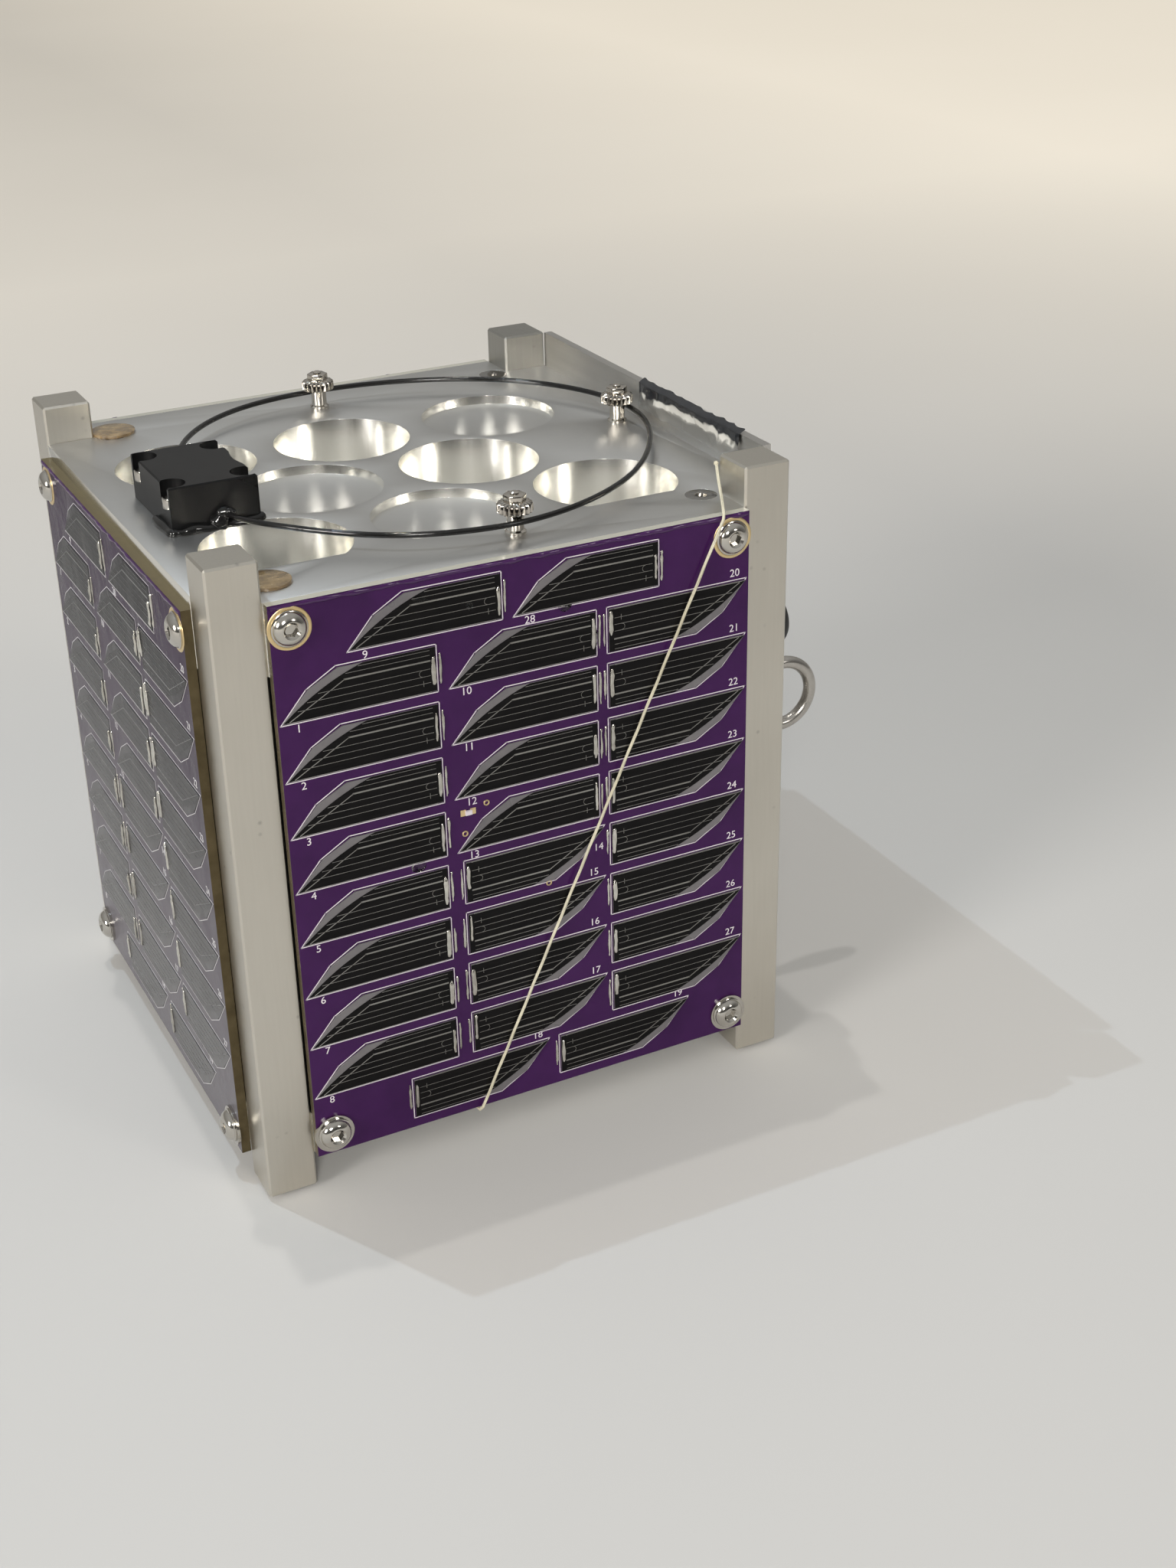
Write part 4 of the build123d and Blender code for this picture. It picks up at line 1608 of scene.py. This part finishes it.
@dataclass
class ButtonScrews:
    """Domed screws with a hexagon socket that hold a board, and the gold pads round the upper two."""

    side: BoardSide
    # radius and height of the head's rings, and of the socket's chamfered entry
    rings: tuple[Flat, ...] = (
        (2.95, 0),
        (2.95, 0.22),
        (2.85, 0.3),
        (2.72, 0.34),
        (2.62, 0.62),
        (2.38, 0.96),
        (2.05, 1.22),
        (1.7, 1.4),
        (1.5, 1.46),
    )
    entry: tuple[Flat, ...] = ((1.0, 1.08), (1.16, 1.24), (1.44, 1.5))
    socket: float = 1.9
    socket_depth: float = 1.0
    overlap: float = 0.05
    washer: float = 0.5
    pad_radius: float = 3.22
    pad_width: float = 0.33
    pad_height: float = 0.12
    pad_stir: Flat = (0.05, 1.5)
    # how a head's turn follows from its place, so that no two sockets stand alike
    twist: Flat = (0.9, 0.4)

    def head(self) -> Piece:
        """Models one head with its seat at y = 0 and its dome towards -Y.

        Returns:
            The head.
        """
        piece = turned("head", self.rings, 64)
        cut_out(piece, turned("entry", self.entry, 48))
        middle = (0, 0, self.rings[-1][1] - self.socket_depth / 2 + self.overlap)
        key = disc("key", middle, self.socket / math.sqrt(3), self.socket_depth + 2 * self.overlap, 6)
        cut_out(piece, key)
        smooth(piece, 32)
        piece.data.transform(swing(90, "X"))
        return piece

    def pad(self) -> Piece:
        """Models one gold ring that lies on the board round a screw.

        Returns:
            The ring.
        """
        piece = hoop("pad", (0, 0, 0), self.pad_radius, self.pad_width, 64, 12)
        piece.data.transform(Matrix.Diagonal((1, self.pad_height / self.pad_width, 1, 1)))
        stir(piece, *self.pad_stir)
        return smooth(piece, 80)

    def build(self, steel: Material, gold: Material) -> None:
        """Seats the four heads, and the pads where there is a solar board.

        Args:
            steel: the heads' material.
            gold: the pads' material.
        """
        label = self.side.label
        low, high = self.side.box(f"board_screws_{label}")
        face = self.side.box(f"board_washers_{label}")[1].y
        head = self.head()
        pad = self.pad()
        radius = self.rings[0][0]
        heads, pads = [], []
        for x in (low.x + radius, high.x - radius):
            for z in (low.z + radius, high.z - radius):
                lower = z < (low.z + high.z) / 2
                place = self.side.turn @ shift(x, face - self.washer if lower else face, z)
                twist = Matrix.Rotation(self.twist[0] * x + self.twist[1] * z, 4, "Y")
                heads.append(copy_of(head, "head", place @ twist))
                if not lower and self.side != BoardSide.RIGHT:
                    pads.append(copy_of(pad, "pad", place))
        drop(head)
        drop(pad)
        fit(joined(f"screw_heads_{label}", heads), steel, f"board_screws_{label}")
        if pads:
            fit(joined(f"gold_pads_{label}", pads), gold)
        LOG.info("screws %s", label)


@dataclass
class BoardParts:
    """Small parts and drops of clear coating on the front board."""

    lamp: Flat = (-10.9, 57.95)
    lamp_half: Flat = (0.6, 0.4)
    lamp_height: float = 0.5
    lamp_gap: float = 0.04
    lamp_edge: float = 0.08
    pad_offset: float = 0.85
    pad_half: Flat = (0.5, 0.55)
    pad_height: float = 0.06
    vias: tuple[Flat, ...] = ((-7.6, 58.85), (-11.6, 54.15), (3.2, 40.85))
    via_radius: float = 0.42
    via_width: float = 0.13
    via_lift: float = 0.02
    # middle x and z from the board's bottom, half width and half height
    drops: tuple[tuple[float, float, float, float], ...] = (
        (7.5, 91.3, 1.5, 2.0),
        (12.3, 83.8, 1.0, 2.2),
        (-20.0, 50.3, 1.3, 1.0),
        (-16.5, 96.4, 2.4, 1.2),
        (-9.0, 93.6, 1.0, 1.8),
    )
    drop_height: float = 0.2
    drop_lift: float = 0.02
    drop_cut: float = 0.01
    drop_stir: Flat = (0.35, 2.2)

    def pads(self) -> Piece:
        """Models the small lamp's two pads and the plated rings of the holes.

        Returns:
            The pads and rings, joined.
        """
        (x, z), (wide, tall) = self.lamp, self.pad_half
        pieces = []
        for middle in (x - self.pad_offset, x + self.pad_offset):
            low = (middle - wide, -self.pad_height, z - tall)
            pieces.append(block("pad", low, (middle + wide, 0, z + tall)))
        for via_x, via_z in self.vias:
            centre = (via_x, -self.via_lift, via_z)
            pieces.append(hoop("via", centre, self.via_radius, self.via_width, 24, 8))
        return joined("small_pads", pieces)

    def body(self) -> Piece:
        """Models the small lamp's body.

        Returns:
            The body.
        """
        (x, z), (wide, tall) = self.lamp, self.lamp_half
        low = (x - wide, -self.lamp_height, z - tall)
        body = block("small_lamp", low, (x + wide, -self.lamp_gap, z + tall))
        soften(body, self.lamp_edge)
        return body

    def coating(self) -> Piece:
        """Models the drops of clear coating, each brought down from a ball of one metre radius.

        Returns:
            The drops, joined.
        """
        pieces = []
        for index, (x, z, half_x, half_z) in enumerate(self.drops):
            piece = ball("drop", (0, 0, 0), 1 / MM, 40, 20)
            piece.data.transform(Matrix.Diagonal((half_x * MM, self.drop_height * MM, half_z * MM, 1)))
            stir(piece, *self.drop_stir, index + 0.5)
            piece.data.transform(shift(x, -self.drop_lift, z))
            cut_away(piece, (0, -self.drop_cut, 0), (0, 1, 0))
            pieces.append(smooth(piece, 70))
        return joined("coating_drops", pieces)

    def build(self, place: Matrix, shared: dict[str, Material]) -> None:
        """Builds and dresses the small parts.

        Args:
            place: the front board's place.
            shared: the board's materials, by name.
        """
        parts = (
            (self.pads(), "board", shared["gold"]),
            (self.body(), "board", shared["print"]),
            (self.coating(), "resin", shared["coating"]),
        )
        for piece, slot, material in parts:
            piece.data.transform(place)
            fit(piece, material)
        LOG.info("board parts: %d drops", len(self.drops))


# ------------------------------------------------------------------------ top of the satellite
@dataclass
class ThumbNut:
    """Ribbed nut under a small hexagon nut and the stud's end, with its seat at zero, on its post."""

    # radius and height of the rings of each turned piece
    body: tuple[Flat, ...] = (
        (1.5, -0.55),
        (2.0, -0.3),
        (2.6, -0.22),
        (2.95, 0),
        (2.95, 1.25),
        (2.7, 1.5),
        (1.95, 1.75),
    )
    stud: tuple[Flat, ...] = ((0.75, 2.5), (0.75, 3.1), (0.5, 3.28))
    post: tuple[Flat, ...] = ((1.75, 0), (1.75, 0.35), (1.4, 0.6), (1.4, 3.5))
    hexagon: float = 1.95
    hexagon_height: float = 1.15
    hexagon_sink: float = 0.05
    hexagon_edge: float = 0.18
    hexagon_turn: float = 12
    flutes: int = 20
    flute_depth: float = 0.5
    flute_from: float = 0.85

    def ribbed(self) -> Piece:
        """Models the turned body with its ribs and weights each vertex by how deep in a hollow it lies, for
        painted shade.

        Returns:
            The body.
        """
        piece = turned("nut", self.body, 4 * self.flutes)
        widest = max(radius for radius, _ in self.body)
        shaded_grooves = piece.data.attributes.new("groove", "FLOAT", "POINT")
        for vertex in piece.data.vertices:
            if vertex.co.xy.length > self.flute_from * widest * MM:
                wave = 0.5 + 0.5 * math.cos(math.atan2(vertex.co.y, vertex.co.x) * self.flutes)
                shaded_grooves.data[vertex.index].value = wave
                vertex.co.xy *= 1 - self.flute_depth / widest * wave
        return smooth(piece, 30)

    def model(self) -> Piece:
        """Models one nut: the ribbed body, the hexagon and the stud's end.

        Returns:
            The nut.
        """
        piece = self.ribbed()
        middle = self.body[-1][1] - self.hexagon_sink + self.hexagon_height / 2
        turn = (0, 0, self.hexagon_turn)
        hexagon = disc("hexagon", (0, 0, middle), self.hexagon, self.hexagon_height, 6, turn)
        soften(hexagon, self.hexagon_edge)
        stud = turned("stud", self.stud, 24)
        return joined("nut", [piece, smooth(hexagon, 40), smooth(stud, 40)])

    def build(self, material: Material) -> None:
        """Seats a nut on each post.

        Args:
            material: the nuts' and the posts' material.
        """
        places = piece_centres(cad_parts["thumb_nuts"])
        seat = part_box("thumb_nuts")[0].z
        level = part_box("top_plate")[1].z
        nut = self.model()
        post = turned("post", self.post, 48)
        for node, pattern, height in (("thumb_nuts", nut, seat), ("antenna_posts", post, level)):
            copies = [copy_of(pattern, node, Matrix.Translation((x, y, height))) for x, y in places]
            drop(pattern)
            pieces = joined(f"{node}_turned", copies)
            fit(smooth(pieces, 35), material, node)
        LOG.info("posts and nuts: %d", len(places))


def piece_centres(node: Piece, near: float = 0.012) -> list[Flat]:
    """Finds the middles of the separate solids in a node, seen from above.

    Args:
        node: the node's object.
        near: vertices closer than this to a solid's first one belong to it, in metres.

    Returns:
        The middles' X and Y, in metres.
    """
    clusters: list[list[Vector]] = []
    for vertex in node.data.vertices:
        flat = vertex.co.xy
        close = [cluster for cluster in clusters if (cluster[0] - flat).length < near]
        if close:
            close[0].append(flat)
        else:
            clusters.append([flat])
    return [tuple((min(along) + max(along)) / 2 for along in zip(*cluster)) for cluster in clusters]


@dataclass
class BoxDetails:
    """Screw heads in the antenna box's corners and the resin round its base."""

    head: float = 1.7
    head_height: float = 1.8
    head_edge: float = 0.14
    slot_half: Flat = (0.85, 0.18)
    slot_depth: float = 0.5
    slot_turn: float = 0.4
    bead: float = 0.9
    bead_lift: float = 0.2
    bead_stir: tuple[float, float, float] = (0.5, 2.0, 4.0)
    bead_path: tuple[Flat, ...] = (
        (-44.6, -8.0),
        (-44.7, -15.0),
        (-43.6, -15.8),
        (-37.5, -15.8),
        (-30.6, -15.8),
        (-29.2, -14.6),
    )
    # lumps at the wire's mouth: middle, its height over the plate, and radius
    lumps: tuple[tuple[float, float, float, float], ...] = (
        (-35.6, -15.8, 2.4, 1.25),
        (-34.9, -16.6, 2.6, 0.9),
        (-36.5, -15.6, 1.0, 1.6),
    )
    lump_stir: Flat = (0.4, 1.2)

    def heads(self) -> Piece:
        """Models the four small heads, each with a cross of two slots.

        Returns:
            The heads, joined.
        """
        low, high = (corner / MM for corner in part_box("antenna_box_screws"))
        tall = self.head_height
        pattern = disc("small_head", (0, 0, tall / 2), self.head, tall, 32)
        half, width = self.slot_half
        for turn in (self.slot_turn, self.slot_turn + math.pi / 2):
            slot = block("slot", (-half, -width, tall - self.slot_depth), (half, width, 2 * tall))
            slot.data.transform(Matrix.Rotation(turn, 4, "Z"))
            cut_out(pattern, slot)
        soften(pattern, self.head_edge, angle=40)
        smooth(pattern, 40)
        heads = []
        for x in (low.x + self.head, high.x - self.head):
            for y in (low.y + self.head, high.y - self.head):
                heads.append(copy_of(pattern, "small_head", shift(x, y, low.z)))
        drop(pattern)
        return joined("box_screw_heads", heads)

    def resin(self) -> Piece:
        """Models the dark resin bead along the box's left and front base and at the wire's mouth.

        Returns:
            The resin.
        """
        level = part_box("top_plate")[1].z / MM
        path = [Vector((x, y, level + self.bead_lift)) for x, y in self.bead_path]
        pieces = [tube("bead", path, self.bead, 4, 5)]
        stir(pieces[0], *self.bead_stir)
        for x, y, z, radius in self.lumps:
            lump = ball("lump", (x, y, level + z), radius, 24, 16)
            stir(lump, *self.lump_stir, x)
            pieces.append(lump)
        resin = joined("box_resin", pieces)
        cut_away(resin, (0, 0, level), (0, 0, -1))
        return smooth(resin, 80)

    def build(self, steel: Material, black: Material) -> None:
        """Builds and dresses the details.

        Args:
            steel: the heads' material.
            black: the resin's material.
        """
        fit(self.heads(), steel, "antenna_box_screws")
        fit(self.resin(), black)
        LOG.info("box details")


@dataclass
class Film:
    """Crumpled film over the side panel's inner upper edge."""

    length: float = 36.0
    height: float = 5.6
    middle_y: float = -16.2
    crumple: float = 1.1
    # the crumple's share half way up, and what it loses over the whole height
    calm: Flat = (0.65, 0.7)
    # sizes of the soft waves, of the sharper creases and of the ragged edge's teeth
    wave: Flat = (5.5, 4.0)
    crease: Flat = (4.0, 3.0)
    crease_share: float = 0.9
    tooth: float = 3.5
    ragged: float = 0.3
    # where in the noise the waves, the creases and the teeth are read
    seeds: Point = (1.3, 4.7, 3.1)
    stand_off: float = 0.35
    rise: float = 0.7
    wrap: float = 1.8
    gap: float = 0.05
    foot: float = 0.1
    steps: tuple[int, int] = (110, 24)

    def fold(self, x: float, y: float) -> float:
        """How far the flat sheet stands up at a point, as a share of its crumple.

        Args:
            x: the point's place along the sheet, in millimetres.
            y: its place up the sheet.

        Returns:
            The share.
        """
        wave = noise.noise(Vector((x / self.wave[0], y / self.wave[1], self.seeds[0])))
        crease = abs(noise.noise(Vector((x / self.crease[0], y / self.crease[1], self.seeds[1]))))
        share, loss = self.calm
        return (wave + self.crease_share * crease) * (share - loss * y / self.height)

    def sheet(self) -> Piece:
        """Crumples a fine flat sheet and frays its upper edge.

        Returns:
            The sheet, still lying flat.
        """
        clear_selection()
        along, up = self.steps
        bpy.ops.mesh.primitive_grid_add(x_subdivisions=along, y_subdivisions=up, size=1)
        sheet = named("crumpled_film")
        sheet.data.transform(Matrix.Diagonal((self.length * MM, self.height * MM, 1, 1)))
        for vertex in sheet.data.vertices:
            x, y = vertex.co.xy / MM
            tooth = abs(noise.noise(Vector((x / self.tooth, self.seeds[2], 0))))
            vertex.co.z = self.fold(x, y) * self.crumple * MM
            vertex.co.y -= tooth * self.ragged * MM * (y / self.height + 0.5)
        return sheet

    def build(self) -> None:
        """Stands the sheet against the panel, wraps it over the edge and dresses it."""
        low, high = (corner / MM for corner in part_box("side_panel"))
        inner, edge = low.x, high.z
        top = edge + self.rise
        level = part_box("top_plate")[1].z / MM
        sheet = self.sheet()
        place = shift(inner - self.stand_off, self.middle_y, top - self.height / 2)
        sheet.data.transform(place @ swing(90, "Z") @ swing(90, "X"))
        for vertex in sheet.data.vertices:
            over = max(0.0, vertex.co.z - edge * MM)
            vertex.co.x = min(vertex.co.x, (inner - self.gap) * MM) + self.wrap * over
            vertex.co.z = max(vertex.co.z, (level + self.foot) * MM)
        fit(smooth(sheet, 50), Foil("crumpled_film", top * MM).build())
        LOG.info("film")


# ------------------------------------------------------------------------ tie thread
@dataclass
class TieThread:
    """Twisted thread from the front right rail over the plate and down the front board."""

    diameter: float = 0.56
    strands: int = 3
    # a strand's radius and its way from the thread's middle, as shares of the diameter
    strand: float = 0.27
    winding: float = 1 / 4.5
    pitch: float = 26.0
    knot: float = 0.42
    step: float = 0.4
    side: Point = (0.3, -1, 0.2)
    points: tuple[Point, ...] = (
        (40.95, -41.5, 112.7),
        (36.3, -52.1, 107.95),
        (36.0, -52.45, 107.2),
        (-11.2, -52.45, 7.95),
        (-11.6, -51.75, 7.0),
        (-12.0, -46.0, 7.0),
    )

    def stations(self) -> list[Vector]:
        """Evenly spaced points along the thread.

        Returns:
            The points, in millimetres.
        """
        path = [Vector(p) for p in self.points]
        found = [path[0]]
        for start, end in zip(path, path[1:]):
            count = max(1, round((end - start).length / self.step))
            found += [start.lerp(end, i / count) for i in range(1, count + 1)]
        return found

    def wound(self, turn: float, line: Sequence[Vector]) -> list[Vector]:
        """Winds one strand round the thread's line.

        Args:
            turn: where it starts round the line, in radians.
            line: the thread's stations.

        Returns:
            The strand's points.
        """
        path = []
        walked = 0.0
        for i, point in enumerate(line):
            ahead = line[min(i + 1, len(line) - 1)] - line[max(i - 1, 0)]
            out = ahead.cross(Vector(self.side)).normalized()
            up = ahead.cross(out).normalized()
            walked += (point - line[i - 1]).length if i else 0.0
            angle = turn + walked / self.pitch * math.tau
            spoke = out * math.cos(angle) + up * math.sin(angle)
            path.append(point + spoke * self.diameter * self.winding)
        return path

    def build(self, material: Material) -> None:
        """Winds the strands and lets them stand for the plain thread.

        Args:
            material: the thread's material.
        """
        line = self.stations()
        paths = [self.wound(i / self.strands * math.tau, line) for i in range(self.strands)]
        pieces = [tube("strand", path, self.diameter * self.strand, 1) for path in paths]
        pieces.append(ball("knot", self.points[0], self.knot, 16, 10))
        thread = joined("twisted_thread", pieces)
        fit(smooth(thread, 80), material, "tie_thread")
        LOG.info("thread: %d stations", len(line))


# ------------------------------------------------------------------------ stage
class Lamp(NamedTuple):
    """A soft round lamp: its place and width in millimetres, power in watts and colour."""

    name: str
    place: Point
    size: float
    power: float
    colour: Colour


@dataclass
class Studio:
    """Pale floor, soft lamps and the camera."""

    focal: float = 48.475
    long_side: float = 36.0
    eye: Point = (-129.244, -330.660, 225.222)
    forward: Point = (0.39943, 0.79518, -0.45622)
    right: Point = (0.88911, -0.45731, -0.018646)
    # the surroundings' colours, and where they rise and darken, by the way's height and depth
    horizon: Colour = (0.52, 0.5, 0.465)
    zenith: Colour = (0.92, 0.92, 0.9)
    room: Colour = (0.16, 0.157, 0.15)
    backdrop: Colour = (1.3, 1.26, 1.18)
    rise: Flat = (0.0, 0.8)
    behind: Flat = (0.1, -0.8)
    below: Flat = (0.75, 0.35)
    world_strength: float = 0.5
    floor_size: Flat = (4000.0, 20.0)
    floor_shade: Colour = (0.575, 0.566, 0.55)
    floor_colour: Colour = (0.6, 0.591, 0.575)
    # the floor's glow on its far side: strength, share and reach in metres, to the back and the right
    glow: float = 0.26
    glow_share: float = 0.95
    glow_colour: Colour = (1.0, 0.88, 0.68)
    glow_depth: Flat = (0.15, 0.6)
    glow_width: Flat = (0.25, 0.65)
    aim: Point = (0, 0, 55)
    lamps: tuple[Lamp, ...] = (
        Lamp("near_lamp", (-106, 56, 430), 3, 0.35, (0.7, 0.85, 1.0)),
        Lamp("overhead", (-30, 150, 1100), 20, 1.5, (1.0, 0.97, 0.93)),
        Lamp("side_soft", (-2300, -850, 950), 900, 36, (1.0, 0.97, 0.93)),
        Lamp("window", (-700, -1500, 950), 420, 16, (1.0, 0.98, 0.94)),
        Lamp("fill", (750, -1500, 860), 300, 3, (1.0, 0.98, 0.94)),
    )

    def camera(self) -> None:
        """Sets up the camera."""
        data = bpy.data.cameras.new("camera")
        data.lens = self.focal
        data.sensor_fit = "VERTICAL"
        data.sensor_height = self.long_side
        data.clip_start = 0.01
        camera = linked("camera", data)
        ahead = Vector(self.forward).normalized()
        across = Vector(self.right)
        across = (across - ahead * across.dot(ahead)).normalized()
        up = across.cross(ahead)
        turn = Matrix((across, up, -ahead)).transposed().to_4x4()
        camera.matrix_world = shift(*self.eye) @ turn
        bpy.context.scene.camera = camera

    def light(self, lamp: Lamp) -> None:
        """Adds a soft area lamp.

        Args:
            lamp: the lamp, which points at the aim.
        """
        data = bpy.data.lights.new(lamp.name, "AREA")
        data.shape = "DISK"
        data.size = lamp.size * MM
        data.energy = lamp.power
        data.color = lamp.colour
        light = linked(lamp.name, data)
        way = Vector(self.aim) - Vector(lamp.place)
        light.matrix_world = shift(*lamp.place) @ way.to_track_quat("-Z", "Y").to_matrix().to_4x4()

    def floor(self) -> None:
        """Lays a large pale floor, whose far side brightens to the camera as a lit backdrop does."""
        size, thick = self.floor_size
        floor = block("floor", (-size, -size, -thick), (size, size, 0))
        material, desk, shader = new_material("floor_paper")
        patch = desk.group(DRIFT, Scale=3.0)
        far = desk.split(desk.place())
        deep = desk.times(desk.reach(far[1], *self.glow_depth), self.glow_share)
        wide = desk.times(desk.reach(far[0], *self.glow_width), self.glow_share)
        seen = desk.add("LightPath").outputs["Is Camera Ray"]
        inputs = {
            "Base Color": desk.blend(patch, self.floor_shade, self.floor_colour),
            "Roughness": 0.8,
            "Specular IOR Level": 0.2,
            "Emission Color": self.glow_colour,
            "Emission Strength": desk.times(desk.times(desk.plus(deep, wide), seen), self.glow),
        }
        desk.fill(shader, inputs)
        dress(floor, material)

    def world(self) -> None:
        """Sets pale surroundings: brightest above, darker behind the camera."""
        world = bpy.data.worlds.new("studio")
        bpy.context.scene.world = world
        world.use_nodes = True
        world.node_tree.nodes.clear()
        desk = Desk(world.node_tree)
        way = desk.split(desk.add("TexCoord").outputs["Generated"])
        behind = desk.times(desk.reach(way[1], *self.behind), desk.reach(way[2], *self.below))
        colour = desk.blend(desk.reach(way[2], *self.rise), self.horizon, self.zenith)
        colour = desk.blend(behind, colour, self.room)
        colour = desk.blend(desk.add("LightPath").outputs["Is Camera Ray"], colour, self.backdrop)
        back = desk.add("Background", {"Color": colour, "Strength": self.world_strength})
        desk.add("OutputWorld", {0: back.outputs[0]})

    def build(self) -> None:
        """Sets the stage."""
        self.camera()
        self.floor()
        self.world()
        for lamp in self.lamps:
            self.light(lamp)
        bpy.context.scene.view_settings.view_transform = "Standard"
        LOG.info("studio")


# ------------------------------------------------------------------------ making
def main() -> None:
    """Builds every sub-assembly in order."""
    logging.basicConfig(level=logging.INFO, format="%(name)s: %(message)s")
    Studio().build()
    MetalFrame().dress()
    shared = {
        "grey": WAFER_GREY.build(),
        "grid": SILVER_GRID.build(),
        "print": PRINT_WHITE.build(),
        "solder": SOLDER.build(),
        "gold": GOLD.build(),
        "coating": COATING.build(),
        "rim": PURPLE_BEAD.build(),
    }
    # the left board's materials, some painted paler towards the feet: painted light
    left_board_shared = {**shared, "grey": LEFT_GREY.build(), "grid": LEFT_GRID.build(), "print": LEFT_PRINT.build()}
    front = SolarBoard(BoardSide.FRONT, seed=3)
    front.build(FRONT_SILICON.build(), shared)
    BoardParts().build(front.place, shared)
    thin = SolarCell(thick=0.14, print_width=0.1, line_width=0.05)
    SolarBoard(BoardSide.LEFT, seed=5, cell=thin).build(LEFT_SILICON.build(), left_board_shared)
    SolarBoard(BoardSide.BACK, seed=7).build(BACK_SILICON.build(), shared)
    steel = SCREW_STEEL.build()
    for side in BoardSide:
        ButtonScrews(side).build(steel, shared["gold"])
    ThumbNut().build(POST_NICKEL.build())
    BoxDetails().build(steel, BLACK_RESIN.build())
    Film().build()
    BrokenEdge("resin_caps", "resin", 0.22, 3, 60).build(BROWN_RESIN.build())
    BrokenEdge("top_plate", "plate", 0.14).build()
    BrokenEdge("plate_screws_top", "screw", 0.12).build()
    TieThread().build(THREAD_CREAM.build())


if __name__ == "__main__":
    main()
